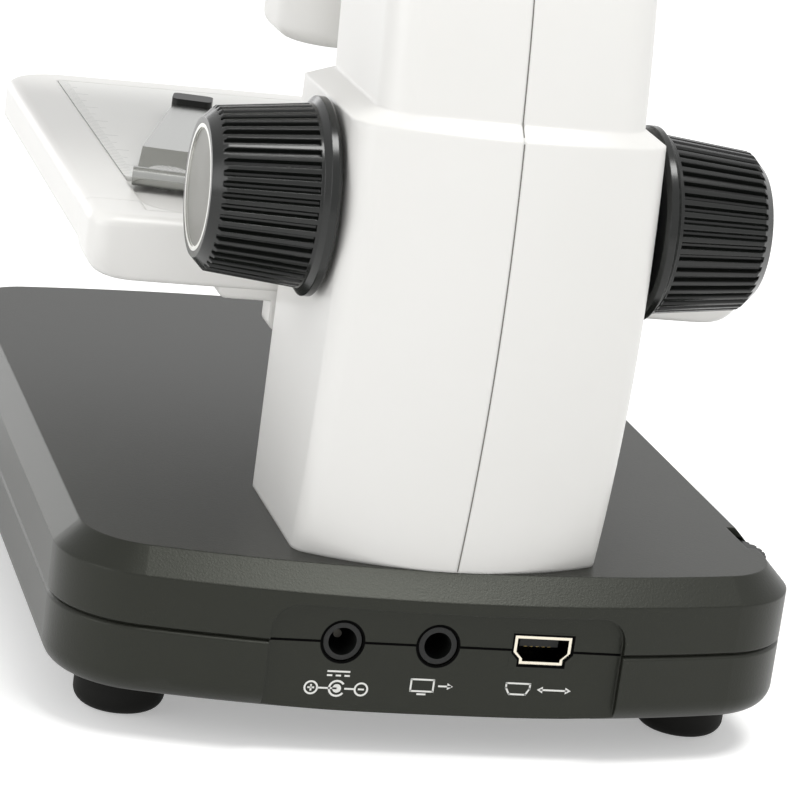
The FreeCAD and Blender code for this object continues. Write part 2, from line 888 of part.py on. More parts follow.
def focus_pinion():
    """Small gear in the middle of the shaft, with a hub on one side."""
    gear = Part.Face(pinion_outline(-pinion_width / 2)).extrude(Vector(pinion_width, 0, 0))
    hub = rod(pitch_radius - gear_dedendum * gear_module, (pinion_width / 2, shaft_y, shaft_z),
              3.0, (1, 0, 0))
    gear = fuse([gear, hub])
    return gear.cut(rod(shaft_radius, (-pinion_width, shaft_y, shaft_z), 3 * pinion_width,
                        (1, 0, 0)))


def rack_reach():
    """Lowest and highest point of the rack, from the stage's travel."""
    spare = 3 * gear_module
    return shaft_z - stage_lift - spare, shaft_z + stage_drop + spare


def focus_rack():
    """Straight rack whose tooth gaps match the pinion at rest."""
    pitch_y = shaft_y - pitch_radius
    tip_y = pitch_y + gear_addendum * gear_module
    root_y = pitch_y - gear_dedendum * gear_module
    pitch = math.pi * gear_module
    slope = math.tan(math.radians(gear_pressure_deg))
    half = pitch / 4 - gear_backlash / 2
    low, high = rack_reach()
    first = math.ceil((low - shaft_z) / pitch - 0.5)
    last = math.floor((high - shaft_z) / pitch - 0.5)
    points = [(root_y - rack_thickness, low), (root_y, low)]
    for k in range(first, last + 1):
        z = shaft_z + (k + 0.5) * pitch
        if z - pitch / 2 < low or z + pitch / 2 > high:
            continue
        wide = half + (pitch_y - root_y) * slope
        thin = half - (tip_y - pitch_y) * slope
        points += [(root_y, z - wide), (tip_y, z - thin), (tip_y, z + thin), (root_y, z + wide)]
    points += [(root_y, high), (root_y - rack_thickness, high)]
    vectors = [Vector(-rack_width / 2, y, z) for y, z in points]
    return Part.Face(Part.makePolygon(vectors + vectors[:1])).extrude(Vector(rack_width, 0, 0))


def focus_shaft():
    """Steel cross shaft that carries both knobs."""
    half = knob_start() + knob_length - 4.0
    return rod(shaft_radius, (-half, shaft_y, shaft_z), 2 * half, (1, 0, 0))


def shaft_bushes():
    """Flanged bushes, one in each side wall of the column."""
    bushes = []
    for side in (1, -1):
        wall_in = side * (column_half_width - column_wall)
        body = rod(bush_radius, (wall_in, shaft_y, shaft_z), column_wall, (side, 0, 0))
        flange = rod(bush_flange_radius, (wall_in, shaft_y, shaft_z), bush_flange, (-side, 0, 0))
        bush = fuse([body, flange])
        hole = rod(shaft_radius + running_clearance, (wall_in - side * 3, shaft_y, shaft_z), 8,
                   (side, 0, 0))
        bushes.append(bush.cut(hole))
    return Part.makeCompound(bushes)


def knob_start():
    """Distance of a knob's inner face from the middle plane."""
    return column_half_width + knob_gap


def knob(side):
    """Turned knob: smooth flange, tapered ribbed grip, chamfered end and cap seat."""
    x0 = knob_start()
    x1 = x0 + knob_flange_length
    x2 = x0 + knob_length - knob_chamfer
    x3 = x0 + knob_length
    face = knob_outer_radius - knob_chamfer
    seat = x3 - cap_thickness
    profile = [(x0, shaft_radius), (x0, knob_flange_radius - 0.5), (x0 + 0.5, knob_flange_radius),
               (x1 - 0.2, knob_flange_radius), (x1 + 0.5, knob_inner_radius),
               (x2, knob_outer_radius), (x3, face), (x3, cap_radius), (seat, cap_radius),
               (seat, shaft_radius)]
    wire = Part.makePolygon([Vector(x, r, 0) for x, r in profile + profile[:1]])
    body = Part.Face(wire).revolve(Vector(0, 0, 0), Vector(1, 0, 0), 360)
    grooves = []
    half = knob_groove_width / 2
    for k in range(knob_ribs):
        start, end = x1 + 0.9, x2 + 0.4
        deep0 = knob_inner_radius - knob_groove_depth
        deep1 = knob_outer_radius - knob_groove_depth
        rings = []
        for x, deep in ((start, deep0), (end, deep1)):
            ring = [Vector(x, deep, -half * 0.35), Vector(x, deep, half * 0.35),
                    Vector(x, deep + 2, half * 2.1), Vector(x, deep + 2, -half * 2.1)]
            rings.append(Part.makePolygon(ring + ring[:1]))
        cut = Part.makeLoft(rings, True, True)
        cut.rotate(Vector(0, 0, 0), Vector(1, 0, 0), 360.0 * k / knob_ribs)
        grooves.append(cut)
    body = body.cut(Part.makeCompound(grooves))
    end_shaft = rod(shaft_radius, (x0 - 1, 0, 0), knob_length - 4.0 + 1, (1, 0, 0))
    plug = rod(shaft_radius, (x3 - 4.0, 0, 0), seat - (x3 - 4.0), (1, 0, 0))
    body = fuse([body.cut(end_shaft), plug])
    body.translate(Vector(0, shaft_y, shaft_z))
    return body if side > 0 else mirrored(body)


def knob_cap(side):
    """Turned metal disc in the end of a knob, with a fine raised rim."""
    x1 = knob_start() + knob_length
    x0 = x1 - cap_thickness
    disc = rod(cap_radius, (x0, shaft_y, shaft_z), cap_thickness, (1, 0, 0))
    dish = rod(cap_radius - cap_rim, (x1 - 0.25, shaft_y, shaft_z), 1, (1, 0, 0))
    cap = disc.cut(dish)
    return cap if side > 0 else mirrored(cap)


def guide_rods():
    """Two upright steel rods on which the carriage slides."""
    rods = [rod(rod_radius, (side * rod_x, rod_y, rod_foot_z), rod_length(), (0, 0, 1))
            for side in (-1, 1)]
    return Part.makeCompound(rods)


def stage_carriage():
    """Slide block on the guide rods, with a neck that comes out of the column's slot."""
    half = carriage_half_width
    y0 = rod_y - carriage_depth / 2
    z0, z1 = carriage_bottom_z, carriage_bottom_z + carriage_height
    block = box(-half, half, y0, rod_y + carriage_depth / 2, z0, z1)
    neck = box(-carriage_neck_half, carriage_neck_half, stage_rear_y, y0 + 1, z0, neck_top_z())
    body = fuse([block, neck])
    holes = [rod(rod_radius + running_clearance, (side * rod_x, rod_y, z0 - 1),
                 carriage_height + 2, (0, 0, 1)) for side in (-1, 1)]
    holes.append(box(-rack_width / 2, rack_width / 2, rack_back_y(), shaft_y,
                     rack_reach()[0], z1 + 1))
    holes += [rod(screw_radius, (x, stage_rear_y - 1, z), 8, (0, 1, 0))
              for x, z in stage_screw_places()]
    return body.cut(holes[0].multiFuse(holes[1:]))


def neck_top_z():
    """Top of the carriage's neck, just under the stage's top."""
    return stage_top_z - 1.5


def rack_back_y():
    """Plane on which the rack is seated in the carriage."""
    return shaft_y - pitch_radius - gear_dedendum * gear_module - rack_thickness


def stage_screw_places():
    """Sideways place and height of the two screws between stage and carriage."""
    return [(side * 4.2, carriage_bottom_z + screw_head_radius) for side in (-1, 1)]


def stage_outline(inset, z):
    """Rounded rectangle of the stage, drawn in by the inset."""
    return plan_wire(stage_half_width - inset, stage_rear_y - inset, None, stage_corner - inset,
                     stage_front_y + inset, None, stage_corner - inset, z)


def apron_block(half, drop, depth):
    """Part of the rear apron below the tray."""
    return box(-half, half, stage_rear_y - depth, stage_rear_y,
               stage_bottom_z - drop, stage_bottom_z + 0.5)


def stage_plate():
    """Tray with a rounded rim, rear apron and tab, scale pocket and shallow recess."""
    body = prism(stage_outline(0, stage_bottom_z), stage_thickness)
    body = body.makeFillet(stage_edge_round, edges_at(body, stage_top_z))
    hollow = prism(stage_outline(stage_wall, stage_bottom_z - 1),
                   stage_thickness - stage_floor - scale_thickness + 1)
    keep = box(-stage_half_width, stage_half_width, stage_rear_y - apron_depth,
               stage_rear_y, stage_bottom_z - 2, stage_top_z)
    body = body.cut(hollow.cut(keep))
    apron = apron_block(apron_half_width, apron_drop, apron_depth)
    low = stage_bottom_z - apron_drop
    apron = apron.makeFillet(apron_drop * 0.9, edges_near(apron, apron_half_width, low))
    step = apron_block(apron_step_half, apron_drop + apron_step, apron_depth - 1.5)
    step = step.makeFillet(apron_step * 0.9, edges_near(step, apron_step_half, low - apron_step))
    tab = apron_block(tab_half_width, apron_drop + tab_drop, tab_thickness)
    tab = tab.makeFillet(1.2, edges_near(tab, tab_half_width, low - tab_drop))
    body = fuse([body, apron, step, tab])
    pocket = plan_wire(scale_half_width, scale_rear_y, None, 1.0, scale_rear_y - scale_length,
                       None, 1.0, stage_top_z - scale_thickness)
    recess = plan_wire(scale_half_width, scale_rear_y + recess_length, None, recess_corner,
                       scale_rear_y - 1, None, 0.4, stage_top_z - recess_depth)
    tools = [prism(pocket, scale_thickness + 1), prism(recess, recess_depth + 1)]
    for side in (-1, 1):
        tools.append(rod(clip_pin_radius, (side * clip_pin_x, clip_pin_y, stage_bottom_z),
                         stage_thickness + 1, (0, 0, 1)))
    for x, z in stage_screw_places():
        tools.append(rod(screw_radius, (x, stage_rear_y - 20, z), 30, (0, 1, 0)))
        tools.append(rod(screw_head_radius + seat_clearance, (x, stage_screw_seat_y(), z), 20,
                         (0, -1, 0)))
    return body.cut(tools[0].multiFuse(tools[1:]))


def stage_screws():
    """Screws from the stage's tab into the carriage's neck."""
    out = []
    for x, z in stage_screw_places():
        start = stage_screw_seat_y()
        head = rod(screw_head_radius, (x, start, z), screw_head_height, (0, -1, 0))
        shank = rod(screw_radius, (x, start, z), stage_rear_y + 6.0 - start, (0, 1, 0))
        out.append(fuse([head, shank]))
    return Part.makeCompound(out)


def stage_screw_seat_y():
    """Plane under the heads of the stage screws."""
    return stage_rear_y - tab_thickness + 1.9


def stage_cover():
    """Thin plate that closes the tray from below."""
    plate = prism(stage_outline(stage_wall, stage_bottom_z), cover_thickness)
    rear = stage_rear_y - apron_depth
    return plate.cut(box(-stage_half_width, stage_half_width, rear, stage_rear_y + 1,
                         stage_bottom_z - 1, stage_top_z))


def scale_plate():
    """Inset plate that carries the printed scale."""
    gap = seat_clearance
    wire = plan_wire(scale_half_width - gap, scale_rear_y - gap, None, 0.85,
                     scale_rear_y - scale_length + gap, None, 0.85, stage_top_z - scale_thickness)
    return prism(wire, scale_thickness)


def clip_place(side):
    """Placement of a clip: its own X runs from the pin to the tip."""
    angle = -90.0 - clip_angle_deg if side > 0 else -90.0 + clip_angle_deg
    return Placement(Vector(side * clip_pin_x, clip_pin_y, stage_top_z),
                     Rotation(Vector(0, 0, 1), angle))


def placed(shape, placement):
    """Copy of a shape set in a placement."""
    out = shape.copy()
    out.Placement = placement.multiply(out.Placement)
    return out


def clip_profile():
    """Side view of the leaf: curl behind the pin, flat seat, rise, long leaf."""
    lift = clip_gap()
    r = clip_curl_radius
    centre = Vector(-clip_base_width / 2 - 0.5, 0, lift + r)
    sheet = clip_sheet
    seat_end = clip_base_width / 2
    rise_end = seat_end + clip_rise * 1.4
    top = lift + clip_rise
    points_low = [(centre.x, lift), (seat_end, lift), (rise_end, top), (clip_length, top - 0.6)]
    outer = [Vector(x, 0, z) for x, z in points_low]
    inner = [Vector(x, 0, z + sheet) for x, z in reversed(points_low)]
    return outer, inner, centre


def clip_gap():
    """Small gap under the leaf's seat, so that it can turn."""
    return 0.2


def clip_leaf():
    """Tapered spring leaf with a curled end, in the clip's own frame."""
    outer, inner, centre = clip_profile()
    half = clip_base_width / 2
    wire = Part.makePolygon(outer + inner + outer[:1])
    leaf = Part.Face(wire).extrude(Vector(0, clip_base_width, 0))
    leaf.translate(Vector(0, -half, 0))
    r = clip_curl_radius
    low = Vector(centre.x, -half, centre.z)
    roll = Part.makeCylinder(r, clip_base_width, low, Vector(0, 1, 0))
    roll = roll.cut(Part.makeCylinder(r - clip_sheet, clip_base_width + 2,
                                      Vector(centre.x, -half - 1, centre.z), Vector(0, 1, 0)))
    open_part = box(centre.x, centre.x + 2 * r, -half - 1, half + 1, centre.z - r + clip_sheet,
                    centre.z + r * 0.4)
    roll = roll.cut(open_part)
    leaf = fuse([leaf, roll])
    tip = clip_tip_width / 2
    rear = -clip_base_width
    outline = [(rear, -half), (half, -half), (clip_length, -tip), (clip_length, tip),
               (half, half), (rear, half)]
    wire = Part.makePolygon([Vector(x, y, -1) for x, y in outline + outline[:1]])
    leaf = leaf.common(Part.Face(wire).extrude(Vector(0, 0, 12)))
    return leaf.cut(rod(clip_pin_radius + running_clearance, (0, 0, -1), 6, (0, 0, 1)))


def clip(side):
    """Leaf in its place on the stage, free to turn on its pin."""
    return placed(clip_leaf(), clip_place(side))


def clip_tip(side):
    """Soft black pad sleeved over the end of a leaf."""
    z = clip_gap() + clip_rise - 0.6 + clip_sheet / 2
    pad = box(clip_length + 1.2 - tip_length, clip_length + 1.2, -tip_width / 2, tip_width / 2,
              z - tip_height / 2, z + tip_height / 2)
    upright = [e for e in pad.Edges if abs(e.Vertexes[0].Z - e.Vertexes[1].Z) > 0.1]
    return placed(pad.makeFillet(1.0, upright).cut(clip_leaf()), clip_place(side))


def clip_pins():
    """Headed pins pressed into the tray, one for each clip."""
    pins = []
    for side in (-1, 1):
        z = clip_place(side).Base.z + clip_gap() + clip_sheet + clip_gap()
        low = stage_bottom_z + cover_thickness
        pin = rod(clip_pin_radius, (side * clip_pin_x, clip_pin_y, low), z - low, (0, 0, 1))
        collar = rod(clip_pin_collar_radius, (side * clip_pin_x, clip_pin_y,
                                              stage_top_z - recess_depth), recess_depth, (0, 0, 1))
        head = rod(clip_pin_head_radius, (side * clip_pin_x, clip_pin_y, z), clip_pin_head,
                   (0, 0, 1))
        head = head.makeFillet(0.4, edges_at(head, z + clip_pin_head))
        pins.append(fuse([pin, collar, head]))
    return Part.makeCompound(pins)


def head_rear_shell():
    """White back of the head: rounded rear edges, posts for the screws, cable opening."""
    depth = head_thickness - bezel_thickness
    outer = head_plate(0, -head_thickness, depth)
    outer = outer.makeFillet(head_rear_round, edges_at(outer, -head_thickness))
    inner = head_plate(head_wall, -head_thickness + head_wall, depth)
    shell = outer.cut(inner)
    posts = [rod(head_boss_radius, (x, y, -head_thickness + head_wall / 2), depth - head_wall / 2,
                 (0, 0, 1)) for x, y in head_screw_places()]
    seat = -head_board_depth - board_thickness
    low = -head_thickness + head_wall / 2
    posts += [rod(boss_radius - 0.8, (x, y, low), seat - low, (0, 0, 1))
              for x, y in head_post_places()]
    shell = fuse([shell] + [p.common(outer) for p in posts])
    tools = [rod(board_screw_radius(), (x, y, seat - 5.0), 6.0, (0, 0, 1))
             for x, y in head_post_places()]
    for x, y in head_screw_places():
        tools.append(rod(board_screw_radius(), (x, y, -head_thickness - 1), head_thickness,
                         (0, 0, 1)))
        tools.append(rod(board_screw_radius() + 1.0 + seat_clearance, (x, y, -head_thickness - 1),
                         head_screw_seat + 1, (0, 0, 1)))
    tools.append(box(-cable_half(), cable_half(), cable_port_v(), cable_port_v() + 8.0,
                     -head_thickness - 1, -head_thickness + head_wall + 1))
    shell = shell.cut(tools[0].multiFuse(tools[1:]))
    shell = in_head(shell)
    return shell.cut(sensor_cable_hole())


def sensor_cable_hole():
    """Opening in the head's lower wall, above the lens housing."""
    middle = -(head_thickness + bezel_thickness) / 2
    return in_head(box(-cable_half(), cable_half(), -head_height / 2 - 1,
                       -head_height / 2 + head_wall + 1, middle - 3, middle + 3))


def cable_port_v():
    """Lower edge of the ribbon's opening in the head's back."""
    return 13.0


def head_post_places():
    """Places of the posts on which the head board is screwed."""
    x = button_pitch * 1.5
    y = head_board_height / 2 - 4.0
    return [(sx * x, sy * y) for sx in (-1, 1) for sy in (-1, 1)]


def head_screw_places():
    """Screw places near the head's corners, beside the display module."""
    x = screen_width / 2 + panel_margin + part_clearance + head_boss_radius
    y = head_height / 2 - 7.5
    return [(sx * x, sy * y) for sx in (-1, 1) for sy in (-1, 1)]


def head_bezel():
    """Black front frame with the screen opening and the row of button holes."""
    outer = head_plate(0, -bezel_thickness, bezel_thickness)
    outer = outer.makeFillet(bezel_round, edges_at(outer, 0))
    inner = head_plate(head_wall, -bezel_thickness - 1, bezel_thickness - bezel_face + 1)
    frame = outer.cut(inner)
    half_w, half_h = screen_width / 2, screen_height / 2
    opening = box(-half_w, half_w, screen_offset - half_h, screen_offset + half_h,
                  -bezel_thickness - 1, 1)
    rebate = window_box(0, -window_thickness, 1)
    tools = [opening, rebate]
    tools += [rod(button_radius + part_clearance, (x, button_row, -bezel_thickness - 1),
                  bezel_thickness + 2, (0, 0, 1)) for x in button_places()]
    frame = frame.cut(tools[0].multiFuse(tools[1:]))
    posts = [rod(head_boss_radius, (x, y, -bezel_thickness), bezel_thickness - bezel_face + 0.5,
                 (0, 0, 1)) for x, y in head_screw_places()]
    frame = fuse([frame] + posts)
    holes = [rod(board_screw_radius(), (x, y, -bezel_thickness - 1),
                 bezel_thickness - bezel_face + 0.5, (0, 0, 1)) for x, y in head_screw_places()]
    return in_head(frame.cut(holes[0].multiFuse(holes[1:])))


def window_box(gap, w0, w1):
    """Block of the window's size between two depths."""
    half_w = screen_width / 2 + window_margin - gap
    half_h = screen_height / 2 + window_margin - gap
    return box(-half_w, half_w, screen_offset - half_h, screen_offset + half_h, w0, w1)


def button_places():
    """Sideways places of the buttons."""
    middle = (len(button_names) - 1) / 2
    return [(k - middle) * button_pitch for k in range(len(button_names))]


def lcd_window():
    """Clear cover in the bezel's rebate."""
    return in_head(window_box(seat_clearance, -window_thickness, 0))


def lcd_panel():
    """Display module behind the bezel."""
    half_w = screen_width / 2 + panel_margin
    half_h = screen_height / 2 + panel_margin
    return in_head(box(-half_w, half_w, screen_offset - half_h, screen_offset + half_h,
                       -bezel_face - panel_thickness, -bezel_face))


def head_board():
    """Circuit board across the head, on two ledges of the shell's posts."""
    half_w, half_h = head_board_width / 2, head_board_height / 2
    board = box(-half_w, half_w, -half_h - 3, half_h + 1, -head_board_depth - board_thickness,
                -head_board_depth)
    cuts = [rod(head_boss_radius + 0.5, (x, y, -head_board_depth - 5), 10, (0, 0, 1))
            for x, y in head_screw_places()]
    cuts += [rod(board_screw_radius(), (x, y, -head_board_depth - 5), 10, (0, 0, 1))
             for x, y in head_post_places()]
    return in_head(board.cut(cuts[0].multiFuse(cuts[1:])))


def button_switches():
    """Push switches on the head board, one under each button."""
    out = []
    top = -bezel_face - part_clearance - button_flange - button_travel - part_clearance
    half = switch_size / 2
    for x in button_places():
        body = box(x - half, x + half, button_row - half, button_row + half, -head_board_depth,
                   top - 0.8)
        plunger = rod(switch_plunger_radius, (x, button_row, top - 1.0), 1.0, (0, 0, 1))
        out.append(in_head(fuse([body, plunger])))
    return Part.makeCompound(out)


def button(index):
    """Round key with a retaining flange behind the bezel."""
    x = button_places()[index]
    low = -bezel_face - part_clearance - button_flange
    flange = rod(button_flange_radius, (x, button_row, low), button_flange, (0, 0, 1))
    cap = rod(button_radius, (x, button_row, low + 0.5), button_proud - low - 0.5, (0, 0, 1))
    cap = cap.makeFillet(0.5, edges_at(cap, button_proud))
    return in_head(fuse([flange, cap]))


def head_screws():
    """Screws that close the head from behind, and those that hold its board."""
    out = []
    radius = board_screw_radius()
    for x, y in head_post_places():
        head = rod(radius + 1.0, (x, y, -head_board_depth), small_screw_head, (0, 0, 1))
        shank = rod(radius, (x, y, -head_board_depth), 6.0, (0, 0, -1))
        out.append(in_head(fuse([head, shank])))
    length = head_thickness - head_screw_seat - bezel_face - 1.0
    for x, y in head_screw_places():
        start = -head_thickness + head_screw_seat
        head = rod(radius + 1.0, (x, y, start), small_screw_head, (0, 0, -1))
        shank = rod(radius, (x, y, start), length, (0, 0, 1))
        out.append(in_head(fuse([head, shank])))
    return Part.makeCompound(out)


def lens_outline(inset, z):
    """Soft square outline of the lens housing, centred on the lens axis."""
    half = lens_half_width - inset
    return plan_wire(half, lens_y + half, None, lens_corner - inset, lens_y - half, None,
                     lens_corner - inset, z)


def lens_housing():
    """Soft square tube under the head, open below round the light ring."""
    top = head_z
    outer = prism(lens_outline(0, lens_bottom_z), top - lens_bottom_z)
    outer = outer.makeFillet(lens_edge_round, edges_at(outer, lens_bottom_z))
    inner = prism(lens_outline(lens_wall, lens_bottom_z - 1), top - lens_bottom_z + 2)
    tube = outer.cut(inner).cut(head_outer())
    return min(tube.Solids, key=lambda solid: solid.BoundBox.ZMin)


def led_board_z():
    """Underside of the light ring's board."""
    return lens_bottom_z + 3.0


def light_cover():
    """Clear ring that closes the housing from below, round the lens."""
    plate = prism(lens_outline(lens_wall, lens_bottom_z + 0.4), 1.2)
    return plate.cut(rod(barrel_radius, (0, lens_y, lens_bottom_z - 1), 5, (0, 0, 1)))


def led_board():
    """Board of the light ring, round the lens barrel."""
    plate = prism(lens_outline(lens_wall, led_board_z()), led_board_thickness)
    return plate.cut(rod(barrel_radius, (0, lens_y, led_board_z() - 1), 5, (0, 0, 1)))


def leds():
    """White lights under the ring board."""
    out = []
    height = led_board_z() - lens_bottom_z - 1.8
    for k in range(led_count):
        a = 2 * math.pi * (k + 0.5) / led_count
        x = led_circle_radius * math.cos(a)
        y = lens_y + led_circle_radius * math.sin(a)
        out.append(rod(led_radius, (x, y, led_board_z() - height), height, (0, 0, 1)))
    return Part.makeCompound(out)


def lens_barrel():
    """Black tube that holds the objective and stands on the sensor board."""
    z0 = lens_bottom_z + 0.4
    tube = rod(barrel_radius, (0, lens_y, z0), barrel_length, (0, 0, 1))
    cone = Part.makeCone(barrel_bore + 1.2, barrel_bore - 0.6, 1.6, Vector(0, lens_y, z0),
                         Vector(0, 0, 1))
    bore = rod(barrel_bore - 0.6, (0, lens_y, z0 - 1), barrel_length + 2, (0, 0, 1))
    seat = rod(objective_radius, (0, lens_y, z0 + 2.0), 2.6, (0, 0, 1))
    return tube.cut(cone.multiFuse([bore, seat]))


def objective_lens():
    """Double-domed glass in the barrel's seat."""
    z0 = lens_bottom_z + 0.4 + 2.0
    rim = rod(objective_radius, (0, lens_y, z0), 2.6, (0, 0, 1))
    big = 8.0
    low = Part.makeSphere(big, Vector(0, lens_y, z0 + big))
    high = Part.makeSphere(big, Vector(0, lens_y, z0 + 2.6 - big))
    return rim.common(low).common(high)


def sensor_board():
    """Image sensor board on top of the barrel."""
    z0 = lens_bottom_z + 0.4 + barrel_length
    board = prism(lens_outline(lens_wall + part_clearance, z0), 1.2)
    chip = box(-4.5, 4.5, lens_y - 4.5, lens_y + 4.5, z0 + 1.2, z0 + 2.8)
    return fuse([board, chip])


def ribbon_path():
    """Side-view points of the ribbon, from the main board up to the head board."""
    rear = cable_rear_y() - 3.0
    knee_z = base_top_z + 8.0
    up = neck_rear(neck_z) - 3.6
    end_w = -head_board_depth - board_thickness
    place = head_place()
    door = place.multVec(Vector(0, cable_port_v() + 4.0, -head_thickness + 1))
    end = place.multVec(Vector(0, cable_port_v() + 4.0, end_w))
    bend_z = neck_z + 20.0
    bend = (neck_rear(bend_z) - 5.0, bend_z)
    high_z = neck_z + 38.0
    high = (neck_rear(high_z) - 9.0, high_z)
    foot_y_pos = board_rear_y - jack_body_depth - 2.0
    return [(foot_y_pos, board_top_z), (foot_y_pos, seam_z + 4.4), (rear, base_top_z - shell_wall),
            (rear, knee_z), (up, neck_z - 10.0), bend, high, (door.y, door.z), (end.y, end.z)]


def head_ribbon():
    """Flat ribbon cable inside the column, from board to board."""
    points = [Vector(0, y, z) for y, z in ribbon_path()]
    half = ribbon_thickness / 2
    left, right = [], []
    for k, point in enumerate(points):
        before = points[max(k - 1, 0)]
        after = points[min(k + 1, len(points) - 1)]
        first = point.sub(before) if k else after.sub(point)
        second = after.sub(point) if k < len(points) - 1 else first
        first.normalize()
        second.normalize()
        along = first.add(second)
        along.normalize()
        cos_half = max(along.dot(first), 0.5)
        side = Vector(0, -along.z, along.y)
        left.append(point.add(side.multiply(half / cos_half)))
        side = Vector(0, along.z, -along.y)
        right.append(point.add(side.multiply(half / cos_half)))
    loop = left + right[::-1]
    face = Part.Face(Part.makePolygon(loop + loop[:1]))
    ribbon = face.extrude(Vector(ribbon_width, 0, 0))
    ribbon.translate(Vector(-ribbon_width / 2, 0, 0))
    return ribbon


def build():
    """All nodes by name."""
    nodes = {
        "base_top_shell": base_top_shell(),
        "base_bottom_shell": base_bottom_shell(),
        "rubber_feet": rubber_feet(),
        "base_screws": base_screws(),
        "main_board": main_board(),
        "board_chips": board_chips(),
        "board_screws": board_screws(),
        "dc_jack": jack(dc_x, dc_bore_radius),
        "dc_jack_pin": dc_jack_pin(),
        "av_jack": av_jack(),
        "av_jack_contact": av_jack_contact(),
        "usb_shell": usb_shell(),
        "usb_tongue": usb_tongue(),
        "usb_contacts": usb_contacts(),
        "card_socket": card_socket(),
        "brightness_wheel": brightness_wheel(),
        "brightness_pot": brightness_pot(),
        "column_left": column_half(1),
        "column_right": column_half(-1),
        "column_screws": column_screws(),
        "focus_shaft": focus_shaft(),
        "focus_pinion": focus_pinion(),
        "shaft_bushes": shaft_bushes(),
        "knob_left": knob(1),
        "knob_right": knob(-1),
        "knob_cap_left": knob_cap(1),
        "knob_cap_right": knob_cap(-1),
        "guide_rods": guide_rods(),
        "stage_carriage": stage_carriage(),
        "focus_rack": focus_rack(),
        "stage_plate": stage_plate(),
        "stage_cover": stage_cover(),
        "scale_plate": scale_plate(),
        "stage_screws": stage_screws(),
        "clip_left": clip(1),
        "clip_right": clip(-1),
        "clip_tip_left": clip_tip(1),
        "clip_tip_right": clip_tip(-1),
        "clip_pins": clip_pins(),
        "head_rear_shell": head_rear_shell(),
        "head_bezel": head_bezel(),
        "lcd_panel": lcd_panel(),
        "lcd_window": lcd_window(),
        "head_board": head_board(),
        "button_switches": button_switches(),
        "head_screws": head_screws(),
        "lens_housing": lens_housing(),
        "lens_barrel": lens_barrel(),
        "objective_lens": objective_lens(),
        "sensor_board": sensor_board(),
        "led_board": led_board(),
        "leds": leds(),
        "light_cover": light_cover(),
        "head_ribbon": head_ribbon(),
    }
    for index, name in enumerate(button_names):
        nodes["button_" + name] = button(index)
    return nodes


def main():
    os.makedirs("parts", exist_ok=True)
    for name, shape in build().items():
        if len(shape.Solids) == 1 and shape.ShapeType != "Solid":
            shape = shape.Solids[0]
        shape.exportStep("parts/" + name + ".step")
        print(name, shape.isValid(), len(shape.Solids), round(shape.Volume, 1))


main()
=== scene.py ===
# %% [markdown]
# A desktop digital microscope, seen from behind. The CAD model holds every piece at its real
# size, so this script dresses it: it gives each surface its finish, adds the printed marks that
# are too thin for CAD, and sets up a plain studio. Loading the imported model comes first, because
# every later measure is read from it.

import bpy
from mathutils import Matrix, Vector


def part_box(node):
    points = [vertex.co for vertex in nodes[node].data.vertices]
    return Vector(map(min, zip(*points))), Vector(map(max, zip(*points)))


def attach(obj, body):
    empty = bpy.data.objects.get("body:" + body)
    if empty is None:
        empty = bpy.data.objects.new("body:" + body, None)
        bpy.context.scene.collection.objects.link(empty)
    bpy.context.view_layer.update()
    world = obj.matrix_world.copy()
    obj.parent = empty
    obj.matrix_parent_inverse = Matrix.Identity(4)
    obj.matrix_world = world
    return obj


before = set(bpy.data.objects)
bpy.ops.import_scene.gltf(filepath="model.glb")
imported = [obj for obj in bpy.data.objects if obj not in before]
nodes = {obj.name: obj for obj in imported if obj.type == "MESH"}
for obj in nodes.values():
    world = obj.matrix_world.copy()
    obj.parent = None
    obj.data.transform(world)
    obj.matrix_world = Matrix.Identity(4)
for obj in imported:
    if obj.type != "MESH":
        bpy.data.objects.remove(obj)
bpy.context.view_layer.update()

# %% [markdown]
# A maker writes the sizes of a small instrument in millimetres, and Blender counts in metres. Each
# object could be scaled down afterwards, but then its patterns would no longer fit the frame. So
# one factor turns millimetres into metres wherever a size is used. The Standard view transform
# shows a colour about as it is written, which a film-like one would shift.

# %% Modules and the unit that sizes are written in
import math

import bmesh
import bpy
import numpy as np
from mathutils import Matrix, Vector
from mathutils.bvhtree import BVHTree

MM = 0.001
scene = bpy.context.scene
scene.view_settings.view_transform = "Standard"
print("view transform:", scene.view_settings.view_transform)

# %% [markdown]
# A photograph is matched with the same camera, or nothing else lines up. A camera could be found
# by eye, by trying lens and distance in turn. Here its place was worked out from the base, whose
# outline, seam and sockets lie on known planes, so it is written as a place, a point that it
# looks at, a roll and a lens in real sizes. The roll is large because the instrument was tilted
# in the picture.

# %% Camera at the photograph's angle
IMAGE_PIXELS = 800
SENSOR_MM = 36.0
FOCAL_PIXELS = 3456.0
CAMERA_PLACE = Vector((121.5, 471.05, 158.8)) * MM
CAMERA_TARGET = Vector((6.65, 54.48, 43.65)) * MM
CAMERA_ROLL = math.radians(7.84)


def camera_axes(place, target, roll):
    """Right, up and back directions: level axes first, then turned about the line of sight."""
    back = (place - target).normalized()
    level_right = Vector((0, 0, 1)).cross(back).normalized()
    level_up = back.cross(level_right)
    right = level_right * math.cos(roll) + level_up * math.sin(roll)
    return right, back.cross(right), back


camera = bpy.data.objects.new("camera", bpy.data.cameras.new("camera"))
scene.collection.objects.link(camera)
camera.data.sensor_width = SENSOR_MM
camera.data.lens = FOCAL_PIXELS * SENSOR_MM / IMAGE_PIXELS
camera.data.clip_start = 0.01
camera.data.clip_end = 20.0
axes = Matrix(camera_axes(CAMERA_PLACE, CAMERA_TARGET, CAMERA_ROLL)).transposed().to_4x4()
camera.matrix_world = Matrix.Translation(CAMERA_PLACE) @ axes
scene.camera = camera
print("lens", round(camera.data.lens, 1), "mm")

